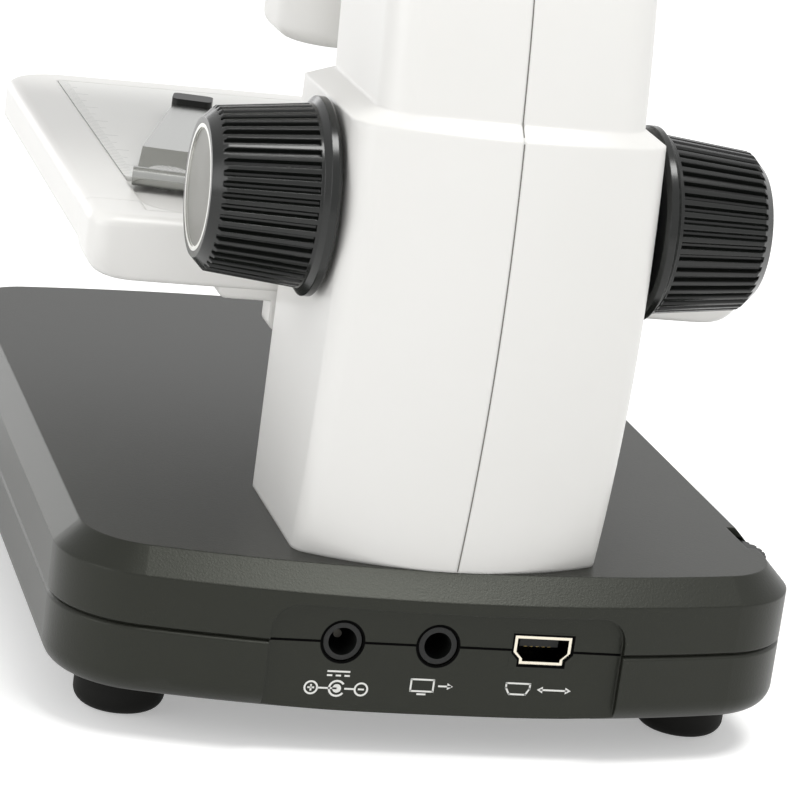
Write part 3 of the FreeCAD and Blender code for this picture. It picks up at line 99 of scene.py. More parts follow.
# %% [markdown]
# Colours are picked on a screen, so they are written as sRGB hex values. Shaders work in linear
# light, and one function turns the one into the other. One more adds a node, sets its values and
# joins it up, which keeps each finish below short enough to read.

# %% Colour and node helpers


def linear(hex_code, alpha=1.0):
    """sRGB hex to linear: c/12.92 below 0.04045, otherwise ((c + 0.055) / 1.055) ** 2.4."""
    channels = [int(hex_code[i:i + 2], 16) / 255 for i in (1, 3, 5)]
    curve = [c / 12.92 if c <= 0.04045 else ((c + 0.055) / 1.055) ** 2.4 for c in channels]
    return (*curve, alpha)


def add(tree, kind, inputs=None, **settings):
    """Adds a node; settings go on the node, and inputs takes values or sockets to join."""
    node = tree.nodes.new("ShaderNode" + kind)
    for name, value in settings.items():
        setattr(node, name, value)
    for key, value in (inputs or {}).items():
        if isinstance(value, bpy.types.NodeSocket):
            tree.links.new(value, node.inputs[key])
        else:
            node.inputs[key].default_value = value
    return node


def finish(name, **values):
    """New material with a Principled shader, whose sockets take the given values."""
    material = bpy.data.materials.new(name)
    material.use_nodes = True
    shader = material.node_tree.nodes["Principled BSDF"]
    for key, value in values.items():
        shader.inputs[key.replace("_", " ")].default_value = value
    return material, material.node_tree, shader


print("white #ffffff is", linear("#ffffff")[:3])

# %% [markdown]
# Injection-moulded plastic is never quite flat: polished tools leave a faint waviness, and
# etched tools leave a fine grain. A photograph of grain could be wrapped round each piece, but it
# would stretch and repeat. Here both are bump from noise in real sizes, on Object coordinates, so
# that a pattern keeps its scale on every piece. A slower noise shifts the colour a little, as
# pigment and handling do, and a Bevel node softens edges as a worn tool does.

# %% Grain shared by the moulded finishes


def grain(tree, shader, size_mm, depth_mm, colours, spread_mm=6.0, edge_mm=0.0):
    """Noise bump of one size, a slow drift between two close colours, and softened edges."""
    place = add(tree, "TexCoord").outputs["Object"]
    fine = add(tree, "TexNoise", {"Vector": place, "Scale": 1 / (size_mm * MM), "Detail": 3.0,
                                  "Roughness": 0.6})
    slow = add(tree, "TexNoise", {"Vector": place, "Scale": 1 / (spread_mm * MM), "Detail": 2.0})
    bump = add(tree, "Bump", {"Height": fine.outputs[0], "Strength": 1.0,
                              "Distance": depth_mm * MM})
    if edge_mm:
        soft = add(tree, "Bevel", {"Radius": edge_mm * MM}, samples=6)
        tree.links.new(soft.outputs[0], bump.inputs["Normal"])
    tree.links.new(bump.outputs[0], shader.inputs["Normal"])
    drift = add(tree, "Mix", {"Factor": slow.outputs[0], "A": linear(colours[0]),
                              "B": linear(colours[1])}, data_type="RGBA")
    tree.links.new(drift.outputs["Result"], shader.inputs["Base Color"])


print("a grain of 0.3 mm has a noise scale of", round(1 / (0.3 * MM)))

# %% [markdown]
# The column, stage and head are white ABS from a polished tool: a bright, slightly warm white
# with broad soft highlights. Flat white would look like paper. The faint waviness bends the
# highlights, and the eye reads that as moulded plastic and not as paint.

# %% Polished white ABS


def white_abs():
    """White ABS, moulded in a polished tool; soft wide highlights and a faint waviness."""
    material, tree, shader = finish("white_abs_polished", Roughness=0.34, IOR=1.54)
    grain(tree, shader, 0.9, 0.004, ("#EBEAE8", "#E7E6E3"), spread_mm=25.0, edge_mm=0.7)
    return material


white = white_abs()
print(white.name)

# %% [markdown]
# The base is black ABS from a spark-eroded tool. Its fine grain scatters light, so the top looks
# dark grey and even, while the bevel that catches the lamp breaks up into bright grains. Its
# pits also swallow light, so its specular level is under that of smooth ABS, and its reflections
# have a cast of olive. The real grain is about 0.1 mm; it is drawn at 0.3 mm, as coarse as it
# needs to be to show.

# %% Grained black ABS


def black_abs():
    """Black ABS, moulded in a spark-eroded tool; dull sheen that sparkles where it is lit."""
    material, tree, shader = finish("black_abs_grained", Roughness=0.36, IOR=1.5,
                                    Specular_IOR_Level=0.34,
                                    Specular_Tint=linear("#FCFFF4"))
    grain(tree, shader, 0.3, 0.022, ("#171813", "#13140F"), spread_mm=15.0, edge_mm=0.35)
    return material


base_black = black_abs()
print(base_black.name)

# %% [markdown]
# The knobs are a smoother black ABS, so each rib carries a thin bright line. The small mouldings
# share a satin black, and the feet are matt rubber. One black for all of them would be quicker,
# but the eye tells these materials apart by their shine alone, so each gets its own roughness.

# %% Satin black ABS


def knob_abs():
    """Black ABS, moulded in a finely honed tool; thin highlights along the ribs."""
    material, tree, shader = finish("black_abs_honed", Roughness=0.2, IOR=1.5,
                                    Specular_IOR_Level=0.44)
    grain(tree, shader, 0.25, 0.003, ("#0F110F", "#121412"), spread_mm=8.0, edge_mm=0.22)
    return material


def small_black():
    """Black nylon, moulded; a plain satin surface for nozzles, pads and housings."""
    material, tree, shader = finish("black_nylon", Roughness=0.42, IOR=1.53,
                                    Specular_IOR_Level=0.3)
    grain(tree, shader, 0.2, 0.004, ("#141514", "#191A19"), spread_mm=3.0)
    return material


def foot_rubber():
    """Black rubber, compression moulded; matt and slightly dusty."""
    material, tree, shader = finish("black_rubber", Roughness=0.72, IOR=1.52,
                                    Specular_IOR_Level=0.15)
    grain(tree, shader, 0.35, 0.012, ("#161615", "#1C1C1A"), spread_mm=4.0)
    return material


knob_black, nylon, rubber = knob_abs(), small_black(), foot_rubber()
print(knob_black.name, nylon.name, rubber.name)

# %% [markdown]
# Metals take their colour from what they reflect. Screws are zinc-plated, rods are plain steel,
# the socket is tin-plated, and contacts are brass. A picture of scratches is the usual way to
# break up their shine. Noise that is stretched along one axis does the same at any size, and it
# changes the roughness from place to place as drawing and rolling do.

# %% Metals
SCRATCH_STRETCH = 0.08
ROUGHNESS_SPREAD = 0.4


def metal(name, hex_code, roughness, scratch_mm):
    """Metal whose roughness runs from r (1 - spread) to r (1 + spread) with stretched noise."""
    material, tree, shader = finish(name, Metallic=1.0, Base_Color=linear(hex_code))
    place = add(tree, "TexCoord").outputs["Object"]
    stretch = add(tree, "Mapping", {"Vector": place, "Scale": (1, 1, SCRATCH_STRETCH)})
    lines = add(tree, "TexNoise", {"Vector": stretch.outputs[0], "Scale": 1 / (scratch_mm * MM),
                                   "Detail": 4.0})
    spread = add(tree, "MapRange", {"Value": lines.outputs[0],
                                    "To Min": roughness * (1 - ROUGHNESS_SPREAD),
                                    "To Max": roughness * (1 + ROUGHNESS_SPREAD)})
    tree.links.new(spread.outputs[0], shader.inputs["Roughness"])
    return material


steel = metal("steel_turned", "#B9B9B6", 0.28, 0.4)  # Grey with soft streaks along the rods
spring = metal("spring_steel_rolled", "#A3A4A1", 0.2, 0.3)  # Darker, with a crisp mirror
tin = metal("tin_plated_steel", "#DDD6C6", 0.22, 0.3)  # Warm and bright, the lightest metal here
brass = metal("brass_stamped", "#CDB06A", 0.28, 0.3)  # Yellow glints in the sockets
zinc = metal("zinc_plated_steel", "#9C9D9B", 0.38, 0.3)  # Dull bluish grey on screw heads
# Nickel pin and contact deep in their sockets; their near-black colour is painted shade.
pin_metal_painted_shade = metal("nickel_in_painted_shade", "#3E3C38", 0.45, 0.2)  # Nearly black, deep in a socket
print(steel.name, spring.name, tin.name, brass.name, zinc.name, pin_metal_painted_shade.name)

# %% [markdown]
# The USB socket is a folded tin-plated sheet. Only its edge is bright, because little light
# reaches its inside. Lamps alone would leave too much shine there, so shade is painted into the
# plating: its colour darkens with depth behind the mouth.

# %% Painted shade inside the socket
MOUTH_BAND_MM = 0.5
socket_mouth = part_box("usb_shell")[1].y


def paint_shade_inside(material, mouth, band, hex_code):
    """Paints shade: mixes in a dark colour, none a quarter of the band behind the mouth, all at
    its end.
    """
    tree = material.node_tree
    shader = tree.nodes["Principled BSDF"]
    place = add(tree, "TexCoord").outputs["Object"]
    depth = add(tree, "SeparateXYZ", {"Vector": place}).outputs["Y"]
    bright = add(tree, "MapRange", {"Value": depth, "From Min": mouth - band,
                                    "From Max": mouth - band / 4})
    colour = add(tree, "Mix", {"Factor": bright.outputs[0], "A": linear(hex_code),
                               "B": tuple(shader.inputs["Base Color"].default_value)},
                 data_type="RGBA")
    tree.links.new(colour.outputs["Result"], shader.inputs["Base Color"])


# Painted shade: the tin's colour turns dark behind the socket's mouth, where little light reaches.
paint_shade_inside(tin, socket_mouth, MOUTH_BAND_MM * MM, "#2A2824")
print("the plating darkens over", MOUTH_BAND_MM, "mm")

# %% [markdown]
# The knob's end cap is a spun aluminium disc. A stretched highlight could be faked with an
# anisotropic shader, but the tool marks themselves are easy to draw: they are rings round the
# shaft, so they follow the distance from the shaft's axis. The disc's colour is a grey well under
# that of aluminium, a painted reflection of the darker surroundings. A narrow rim is brighter:
# partly a real ring cut by a last light pass with a diamond tool, partly a painted highlight.

# %% Spun aluminium
shaft_low, shaft_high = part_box("focus_shaft")
shaft_axis = (shaft_low + shaft_high) / 2
cap_radius = (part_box("knob_cap_left")[1].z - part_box("knob_cap_left")[0].z) / 2
RING_MM = 0.35
RING_DEPTH_MM = 0.006
RIM_MM = 0.55


def spun_aluminium():
    """Aluminium, faced on a lathe; bump from rings whose height is sin(2 pi r / ring); painted
    darker reflection on the disc and a painted highlight on the rim.
    """
    material, tree, shader = finish("aluminium_spun", Metallic=1.0, Roughness=0.33)
    place = add(tree, "TexCoord").outputs["Object"]
    centred = add(tree, "Mapping", {"Vector": place, "Location": (0, -shaft_axis.y,
                                                                  -shaft_axis.z),
                                    "Scale": (0, 1, 1)})
    radius = add(tree, "VectorMath", {0: centred.outputs[0]}, operation="LENGTH")
    turn = add(tree, "Math", {0: radius.outputs["Value"], 1: 2 * math.pi / (RING_MM * MM)},
               operation="MULTIPLY")
    wave = add(tree, "Math", {0: turn.outputs[0]}, operation="SINE")
    bump = add(tree, "Bump", {"Height": wave.outputs[0], "Distance": RING_DEPTH_MM * MM})
    tree.links.new(bump.outputs[0], shader.inputs["Normal"])
    # Painted highlight on the rim, partly a real diamond-cut ring; the dark grey inside it is a
    # painted reflection.
    cut_rim_and_highlight = add(tree, "Math", {0: radius.outputs["Value"], 1: cap_radius - RIM_MM * MM},
              operation="GREATER_THAN")
    colour = add(tree, "Mix", {"Factor": cut_rim_and_highlight.outputs[0], "A": linear("#74736E"),
                               "B": linear("#E8E8E4")}, data_type="RGBA")
    tree.links.new(colour.outputs["Result"], shader.inputs["Base Color"])
    return material


aluminium = spun_aluminium()
print("rings every", RING_MM, "mm")

# %% [markdown]
# The pieces inside, on the boards and in the head, show through openings and in other views.
# They could all be left grey, since the main view hides them. But a green board behind a slot or a
# row of grey keys tells the eye what the thing is, so each has its real material, with a little
# grain and drift in place of one flat colour.

# %% Small inner finishes


def plain(name, hexes, roughness, size_mm=0.3, depth_mm=0.004, ior=1.5, gloss=0.5):
    """Moulded or printed piece with a little grain and drift; gloss is its specular level."""
    material, tree, shader = finish(name, Roughness=roughness, IOR=ior, Specular_IOR_Level=gloss)
    grain(tree, shader, size_mm, depth_mm, hexes, spread_mm=4.0)
    return material


# Glass fibre board under green lacquer, with a satin shine
board_mask = plain("fibreglass_solder_mask", ("#0F4A2A", "#0C3F24"), 0.35)
# Filled epoxy of the chips, matt and charcoal grey
epoxy = plain("moulded_epoxy", ("#1B1B1C", "#232324"), 0.55)
# White lacquer round the lamps, which throws their light down
white_resin = plain("white_solder_mask", ("#E4E4DC", "#DADAD2"), 0.45)
# Acetal of the bushes and the rack, milky and slightly waxy
acetal = plain("acetal_moulded", ("#DCDAD2", "#D5D3CA"), 0.4)
# Grey ABS of the keys, satin
key_abs = plain("grey_abs_keys", ("#9A9C9D", "#8F9192"), 0.35)
# Polyester film over the ribbon's wires, pale and smooth
ribbon_film = plain("polyester_ribbon", ("#B9BBBB", "#AEB0B0"), 0.4)
# ABS from a mirror-polished tool, which frames the screen with sharp reflections
bezel_black = plain("black_abs_glossy", ("#0D0D0F", "#101012"), 0.12)
inner = (board_mask, epoxy, white_resin, acetal, key_abs, ribbon_film, bezel_black)
print("inner finishes:", [material.name for material in inner])

# %% [markdown]
# Glass and clear plastic could be a see-through mix, but then nothing bends. Real transmission
# bends what lies behind, and its IOR sets the strength of the reflections. The screen is off: a
# dark polariser under a clear window. The lamps' yellow resin is cloudy, so it scatters light
# under its surface.

# %% Clear pieces and the screen
clear, _, _ = finish("acrylic_polished", Roughness=0.04, IOR=1.49, Transmission_Weight=1.0,
                     Base_Color=linear("#F4F7F7"))
lens_glass, _, _ = finish("crown_glass_coated", Roughness=0.0, IOR=1.52, Transmission_Weight=1.0,
                          Base_Color=linear("#EAF2F6"))
led_resin, _, _ = finish("epoxy_lens_yellow", Roughness=0.25, IOR=1.55,
                         Base_Color=linear("#E9DFA0"), Subsurface_Weight=0.3)
polariser = plain("lcd_polariser", ("#101316", "#14181C"), 0.18, size_mm=0.4, depth_mm=0.001)
print(clear.name, lens_glass.name)

# %% [markdown]
# The scale plate is white plastic with a printed ruler along two sides. Each line could be a thin
# mesh, as the signs on the port panel are, but there are far more of them here, all at one
# spacing, so the material draws them. A line is where the distance to the nearest whole
# millimetre is under half its width, every fifth and tenth line is longer, and a band mask keeps
# them near the plate's edge.

# %% Scale plate
plate_low, plate_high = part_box("scale_plate")
TICK_MM = 0.16
SHORT_MM, MIDDLE_MM, LONG_MM = 1.6, 2.4, 3.4


def scale_print():
    """White ABS plate with a printed millimetre ruler along both long sides."""
    material, tree, shader = finish("white_abs_printed", Roughness=0.4, IOR=1.52)
    grain(tree, shader, 0.8, 0.003, ("#EDEDEB", "#E9E9E6"), spread_mm=20.0)
    place = add(tree, "TexCoord").outputs["Object"]
    parts = add(tree, "SeparateXYZ", {"Vector": place}).outputs
    across = add(tree, "Math", {0: parts["X"]}, operation="ABSOLUTE")
    inward = add(tree, "Math", {0: plate_high.x, 1: across.outputs[0]}, operation="SUBTRACT")
    along = add(tree, "Math", {0: parts["Y"], 1: plate_low.y}, operation="SUBTRACT")
    ink = None
    for pitch_mm, length_mm in ((1.0, SHORT_MM), (5.0, MIDDLE_MM), (10.0, LONG_MM)):
        away = add(tree, "Math", {0: along.outputs[0], 1: pitch_mm * MM / 2},
                   operation="PINGPONG")
        line = add(tree, "Math", {0: away.outputs[0], 1: TICK_MM * MM / 2},
                   operation="LESS_THAN")
        near = add(tree, "Math", {0: inward.outputs[0], 1: length_mm * MM},
                   operation="LESS_THAN")
        tick = add(tree, "Math", {0: line.outputs[0], 1: near.outputs[0]}, operation="MULTIPLY")
        ink = tick if ink is None else add(tree, "Math", {0: ink.outputs[0], 1: tick.outputs[0]},
                                           operation="MAXIMUM")
    plain_colour = shader.inputs["Base Color"].links[0].from_socket
    printed = add(tree, "Mix", {"Factor": ink.outputs[0], "A": plain_colour,
                                "B": linear("#A9ABA8")}, data_type="RGBA")
    tree.links.new(printed.outputs["Result"], shader.inputs["Base Color"])
    return material


plate_white = scale_print()
print("plate", [round((plate_high[i] - plate_low[i]) / MM, 1) for i in range(3)], "mm")

# %% [markdown]
# Every CAD node gets its finish by name. The finishes could be set one by one, but one table of
# finishes and the pieces that they cover reads like a parts list, and a piece left out shows at
# once in the count.

# %% Give each node its finish
FINISHES = [
    (base_black, ["base_top_shell", "base_bottom_shell"]),
    (white, ["column_left", "column_right", "stage_plate", "stage_cover", "head_rear_shell",
             "lens_housing"]),
    (plate_white, ["scale_plate"]),
    (knob_black, ["knob_left", "knob_right"]),
    (aluminium, ["knob_cap_left", "knob_cap_right"]),
    (nylon, ["dc_jack", "av_jack", "usb_tongue", "brightness_wheel", "stage_carriage",
             "clip_tip_left", "clip_tip_right", "lens_barrel"]),
    (rubber, ["rubber_feet"]),
    (steel, ["focus_shaft", "guide_rods", "clip_pins"]),
    (spring, ["clip_left", "clip_right"]),
    (tin, ["usb_shell", "card_socket"]),
    (brass, ["usb_contacts", "focus_pinion"]),
    (zinc, ["base_screws", "board_screws", "column_screws", "stage_screws", "head_screws"]),
    (pin_metal_painted_shade, ["dc_jack_pin", "av_jack_contact"]),
    (board_mask, ["main_board", "head_board", "sensor_board"]),
    (epoxy, ["board_chips", "button_switches", "brightness_pot"]),
    (white_resin, ["led_board"]),
    (acetal, ["shaft_bushes", "focus_rack"]),
    (key_abs, ["button_power", "button_menu", "button_down", "button_up", "button_capture"]),
    (ribbon_film, ["head_ribbon"]),
    (bezel_black, ["head_bezel"]),
    (polariser, ["lcd_panel"]),
    (clear, ["lcd_window", "light_cover"]),
    (lens_glass, ["objective_lens"]),
    (led_resin, ["leds"]),
]


def coat(node, material):
    """Puts one finish on a CAD node."""
    if not node.material_slots:
        node.data.materials.append(material)
    for slot in node.material_slots:
        slot.material = material


for material, names in FINISHES:
    for name in names:
        coat(nodes[name], material)
named = {name for _, names in FINISHES for name in names}
print("finished:", len(named), "left:", sorted(set(nodes) - named))

# %% [markdown]
# Some forms are too thin or too slight for the CAD model: seam lines, the print under the sockets
# and the bar that squares the stage's rear corners. Painting them with a material would leave
# nothing in the exported mesh, so each is a small mesh of its own, made from arrays of corners,
# that rides on the body it belongs to.

# %% Make one piece from corners and faces


def piece(name, corners, faces, material, body):
    """Mesh object in metres from corners in millimetres, riding on a body."""
    mesh = bpy.data.meshes.new(name)
    mesh.from_pydata((np.asarray(corners, dtype=float) * MM).tolist(), [], faces)
    mesh.materials.append(material)
    made = bpy.data.objects.new(name, mesh)
    scene.collection.objects.link(made)
    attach(made, body)
    return made


def strip_faces(count, closed=False):
    """Quads between two rows of corners that take turns: 0 and 1, 2 and 3, and so on."""
    last = count if closed else count - 1
    return [(2 * k, 2 * k + 1, (2 * k + 3) % (2 * count), (2 * k + 2) % (2 * count))
            for k in range(last)]


def face_rear(made):
    """Flips the faces of a flat piece that point forwards, into what it lies on."""
    work = bmesh.new()
    work.from_mesh(made.data)
    bmesh.ops.reverse_faces(work, faces=[face for face in work.faces if face.normal.y < 0])
    work.to_mesh(made.data)
    work.free()
    return made


print("strip of 3:", strip_faces(3))

# %% [markdown]
# The two halves of the column meet in a line down its back. A groove cut with a Boolean would need
# the column's own mesh, which stays as the CAD model has it, so the line is a ribbon of shadow
# colour. It follows the bowed surface: its depth is found by shooting rays at the column from
# behind, one for each height.

# %% Column seam
SEAM_MM = 0.16
SEAM_LIFT_MM = 0.012
SEAM_POINTS = 160
SEAM_START_MM, SEAM_END_MM = 0.2, 1.0
RAY_START, RAY_SIDE_MM = 0.3, 0.05
# White ABS in the shade of the joint, grey and matt
shadow_line = plain("white_abs_shaded", ("#6E6C68", "#787672"), 0.8)
column_low, column_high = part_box("column_left")


def column_seam():
    """Ribbon of two rows at x = -w/2 and +w/2, lifted a hair off the surface."""
    skin = BVHTree.FromPolygons([v.co for v in nodes["column_left"].data.vertices],
                                [p.vertices for p in nodes["column_left"].data.polygons])
    heights = np.linspace(column_low.z + SEAM_START_MM * MM, column_high.z - SEAM_END_MM * MM,
                          SEAM_POINTS)
    rows = []
    for z in heights:
        hit = skin.ray_cast(Vector((RAY_SIDE_MM * MM, RAY_START, z)), Vector((0, -1, 0)))[0]
        if hit is None:
            break
        rows.append((hit.y / MM + SEAM_LIFT_MM, z / MM))
    depth, height = np.array(rows).T
    side = np.full(len(rows), SEAM_MM / 2)
    left = np.stack([side, depth, height], axis=1)
    right = np.stack([-side, depth, height], axis=1)
    corners = np.stack([left, right], axis=1).reshape(-1, 3)
    return piece("column_seam", corners, strip_faces(len(rows)), shadow_line, "frame")


seam_line = column_seam()
print("seam points:", len(seam_line.data.vertices) // 2)

# %% [markdown]
# The port panel is a flat recess in the base's rear wall, crossed by the seam between the two
# shells. Everything on it is placed from the sockets, whose places are read from the CAD model.

# %% Where the sockets are
MOUTH_SETBACK_MM = 0.2
panel_y_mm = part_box("dc_jack")[1].y / MM + MOUTH_SETBACK_MM
dc, av, usb = (sum(corner.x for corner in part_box(name)) / 2 / MM
               for name in ("dc_jack", "av_jack", "usb_shell"))
seam_z_mm = sum(corner.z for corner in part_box("dc_jack_pin")) / 2 / MM
print("sockets at x", round(dc, 1), round(av, 1), round(usb, 1), "seam at", round(seam_z_mm, 1))

# %% [markdown]
# The marks under the sockets are pad-printed in white ink, and are plain signs without words.
# Text objects or curves could draw them, but plain corners are easier to place and stay exact. A
# ring is two circles of corners, a bar has four, and the other shapes are made of these two.

# %% Flat shapes
RING_STEPS = 40
DOT_RADIUS_MM = 0.001
HEAD_LENGTH, HEAD_HALF_WIDTH = 3.2, 1.9
SHAFT_SHARE = 0.8


def ring(x, z, outer, inner, start=0.0, end=360.0):
    """Flat ring or arc: corners at (x - r cos a, z + r sin a) for two radii."""
    angle = np.radians(np.linspace(start, end, RING_STEPS + 1))
    radii = np.array([outer, max(inner, DOT_RADIUS_MM)])
    points = np.stack([x - np.outer(np.cos(angle), radii), z + np.outer(np.sin(angle), radii)],
                      axis=2).reshape(-1, 2)
    return points, strip_faces(RING_STEPS + 1)


def bar(x0, z0, x1, z1, width):
    """Flat bar between two points, as four corners at half its width to either side."""
    along = np.array([x1 - x0, z1 - z0])
    side = np.array([-along[1], along[0]]) / np.linalg.norm(along) * width / 2
    ends = np.array([[x0, z0], [x1, z1]])
    return np.array([ends[0] + side, ends[0] - side, ends[1] + side, ends[1] - side]), \
        strip_faces(2)


def outline(points, width):
    """Closed line through some points, as bars with a dot at each corner."""
    shapes = []
    for k, point in enumerate(points):
        shapes.append(bar(*point, *points[(k + 1) % len(points)], width))
        shapes.append(ring(*point, width / 2, 0.0))
    return shapes


def arrow(x, z, length, heads, width):
    """Bar with a three-cornered head at one end or both; head 1 points to the picture's right."""
    half = length / 2
    shapes = [bar(x + half * SHAFT_SHARE, z, x - half * SHAFT_SHARE, z, width)]
    for way in heads:
        tip = x - way * half
        back = tip + way * width * HEAD_LENGTH
        shapes.append((np.array([[tip, z], [back, z + width * HEAD_HALF_WIDTH],
                                 [back, z - width * HEAD_HALF_WIDTH]]), [(0, 1, 2)]))
    return shapes


print("corners of a ring:", len(ring(0, 0, 1, 0.5)[0]))

# %% [markdown]
# Ink is far thinner than a millimetre, but two surfaces at one depth flicker. So each layer is
# lifted a hair off the panel, and the shapes of a layer are joined into one piece.

# %% Lay shapes on the panel


def on_panel(name, shapes, material, lift_mm):
    """Joins flat shapes into one piece, a hair in front of the panel."""
    corners, faces, start = [], [], 0
    for points, quads in shapes:
        depth = np.full(len(points), panel_y_mm + lift_mm)
        corners.append(np.stack([points[:, 0], depth, points[:, 1]], axis=1))
        faces += [tuple(start + i for i in quad) for quad in quads]
        start += len(points)
    return face_rear(piece(name, np.concatenate(corners), faces, material, "frame"))


# Pad printing ink, matt and a little off white
ink_white = plain("pad_printing_ink", ("#E9E9E6", "#E2E2DE"), 0.55)
# Black ABS deep in a joint, where hardly any light returns
gap_black = plain("black_abs_shaded", ("#040404", "#060606"), 0.9, gloss=0.05)
print("panel at y", round(panel_y_mm, 2))

# %% [markdown]
# The power socket's sign shows which part of the plug is positive: a plus and a minus in circles,
# joined to the centre dot and the open ring round it, with the sign for direct current above.

# %% Power sign
LINE_MM = 0.24
SIGN_Z_MM = 9.1
PLUS_X_MM, MINUS_X_MM = 3.4, -3.2
CIRCLE_MM = (0.95, 0.7)
PLUS_STROKE_MM, MINUS_STROKE_MM = 0.45, 0.4
DOT_MM = 0.58
OPEN_RING_MM, OPEN_RING_ANGLES = (1.15, 0.88), (35, 325)
PLUS_LINK_MM, MINUS_LINK_MM = (2.5, 0.0), (-1.0, -2.25)
DIRECT_LINE_MM, DIRECT_LINE_RISE_MM = 1.5, 2.3
DASH_MM, DASH_RISE_MM, DASH_PITCH_MM = 0.35, 1.75, 1.15


def level_bar(x0, x1, z):
    """Printed line of one height, from x0 to x1."""
    return bar(x0, z, x1, z, LINE_MM)


plus, minus = dc + PLUS_X_MM, dc + MINUS_X_MM
power_signs = [
    ring(plus, SIGN_Z_MM, *CIRCLE_MM),
    level_bar(plus + PLUS_STROKE_MM, plus - PLUS_STROKE_MM, SIGN_Z_MM),
    bar(plus, SIGN_Z_MM - PLUS_STROKE_MM, plus, SIGN_Z_MM + PLUS_STROKE_MM, LINE_MM),
    level_bar(dc + PLUS_LINK_MM[0], dc + PLUS_LINK_MM[1], SIGN_Z_MM),
    ring(dc, SIGN_Z_MM, DOT_MM, 0.0),
    ring(dc, SIGN_Z_MM, *OPEN_RING_MM, *OPEN_RING_ANGLES),
    level_bar(dc + MINUS_LINK_MM[0], dc + MINUS_LINK_MM[1], SIGN_Z_MM),
    ring(minus, SIGN_Z_MM, *CIRCLE_MM),
    level_bar(minus + MINUS_STROKE_MM, minus - MINUS_STROKE_MM, SIGN_Z_MM),
    level_bar(dc + DIRECT_LINE_MM, dc - DIRECT_LINE_MM, SIGN_Z_MM + DIRECT_LINE_RISE_MM),
]
power_signs += [level_bar(dc + x + DASH_MM, dc + x - DASH_MM, SIGN_Z_MM + DASH_RISE_MM)
                for x in (-DASH_PITCH_MM, 0.0, DASH_PITCH_MM)]
print("shapes in the power sign:", len(power_signs))

# %% [markdown]
# The other two sockets have a screen with an arrow going out to it, and the outline of the plug
# with a two-way arrow for data. Their sizes follow the height of the printed lines beside them.

# %% Screen and plug signs
SCREEN_RISE_MM, PLUG_RISE_MM = 0.9, 1.0
FOOT_DROP_MM = 1.2
screen_z, plug_z = SIGN_Z_MM + SCREEN_RISE_MM, SIGN_Z_MM + PLUG_RISE_MM
screen = [(2.9, -0.8), (-0.1, -0.8), (-0.1, 0.8), (2.9, 0.8)]
video_signs = outline([(av + x, screen_z + z) for x, z in screen], LINE_MM)
video_signs += arrow(av - 1.6, screen_z, 2.2, (1,), LINE_MM)
video_signs += [level_bar(av + 2.0, av + 0.8, screen_z - FOOT_DROP_MM)]
plug = [(4.2, 0.75), (1.0, 0.75), (1.0, 0.1), (1.5, -0.75), (3.7, -0.75), (4.2, 0.1)]
plug_signs = outline([(usb + x, plug_z + z) for x, z in plug], LINE_MM)
plug_signs += arrow(usb - 2.3, plug_z, 4.6, (1, -1), LINE_MM)
INK_LIFT_MM = 0.02
marks = on_panel("panel_marks", power_signs + video_signs + plug_signs, ink_white, INK_LIFT_MM)
print("marks:", len(marks.data.polygons), "faces")

# %% [markdown]
# The seam between the two shells goes on across the panel and stops at each socket. It is drawn as
# a dark bar for each stretch, because a groove of its width would vanish at this distance.

# %% Panel seam
SEAM_GAP_MM = 0.32
PANEL_HALF_MM = 23.4
NOZZLE_HOLE_MM = 2.75
WINDOW_HALF_MM = 4.1
SEAM_TOP_MM = 0.021
stops = [PANEL_HALF_MM, dc + NOZZLE_HOLE_MM, dc - NOZZLE_HOLE_MM, av + NOZZLE_HOLE_MM,
         av - NOZZLE_HOLE_MM, usb + WINDOW_HALF_MM, usb - WINDOW_HALF_MM, -PANEL_HALF_MM]
stretches = [bar(a, seam_z_mm, b, seam_z_mm, SEAM_GAP_MM) for a, b in zip(stops[::2], stops[1::2])]
panel_seam = on_panel("panel_seam", stretches, gap_black, SEAM_TOP_MM)
print("seam stretches:", len(panel_seam.data.polygons))

# %% [markdown]
# Each nozzle stands in a dark gap, and the socket's window follows its shell. The window in the
# CAD model is a plain rectangle, and its corners would show the board behind. So a thin plate with
# a hole of the shell's outline fills the corners, and a narrower black frame round the shell is
# the gap itself. Both are frames between two outlines with as many corners each.

# %% Gaps round the sockets
GAP_MM = 0.32
SHELL_PLAY_MM = 0.04
PLATE_LAP_MM = 0.02
GAP_LIFT_MM, PLATE_LIFT_MM = 0.024, 0.018
WINDOW_MARGIN_MM = 0.55
shell_low, shell_high = (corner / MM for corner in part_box("usb_shell"))
KNEE_DROP_MM = 0.3
STEP_MM = 0.9


def shell_outline(grow):
    """The socket's outline moved outwards; a knee of 45 degrees moves down by g tan 22.5."""
    half = (shell_high.x - shell_low.x) / 2 + grow
    top, low = shell_high.z + grow, shell_low.z - grow
    knee = seam_z_mm - KNEE_DROP_MM - grow * math.tan(math.radians(22.5))
    right = [(half, top), (half, knee), (half - STEP_MM, knee - STEP_MM), (half - STEP_MM, low)]
    return np.array([(usb + x, z) for x, z in right] + [(usb - x, z) for x, z in right[::-1]])


def frame_between(inner, outer):
    """Flat frame between two closed outlines with as many corners each."""
    points = np.stack([inner, outer], axis=1).reshape(-1, 2)
    return points, strip_faces(len(inner), closed=True)


def window_outline():
    """Corners on the window's edge, each beside its partner on the shell's outline."""
    half = (shell_high.x - shell_low.x) / 2 + WINDOW_MARGIN_MM
    top, low = shell_high.z + WINDOW_MARGIN_MM, shell_low.z - WINDOW_MARGIN_MM
    right = [(half, top), (half, seam_z_mm - KNEE_DROP_MM), (half, low),
             (half - 2 * STEP_MM, low)]
    return np.array([(usb + x, z) for x, z in right] + [(usb - x, z) for x, z in right[::-1]])


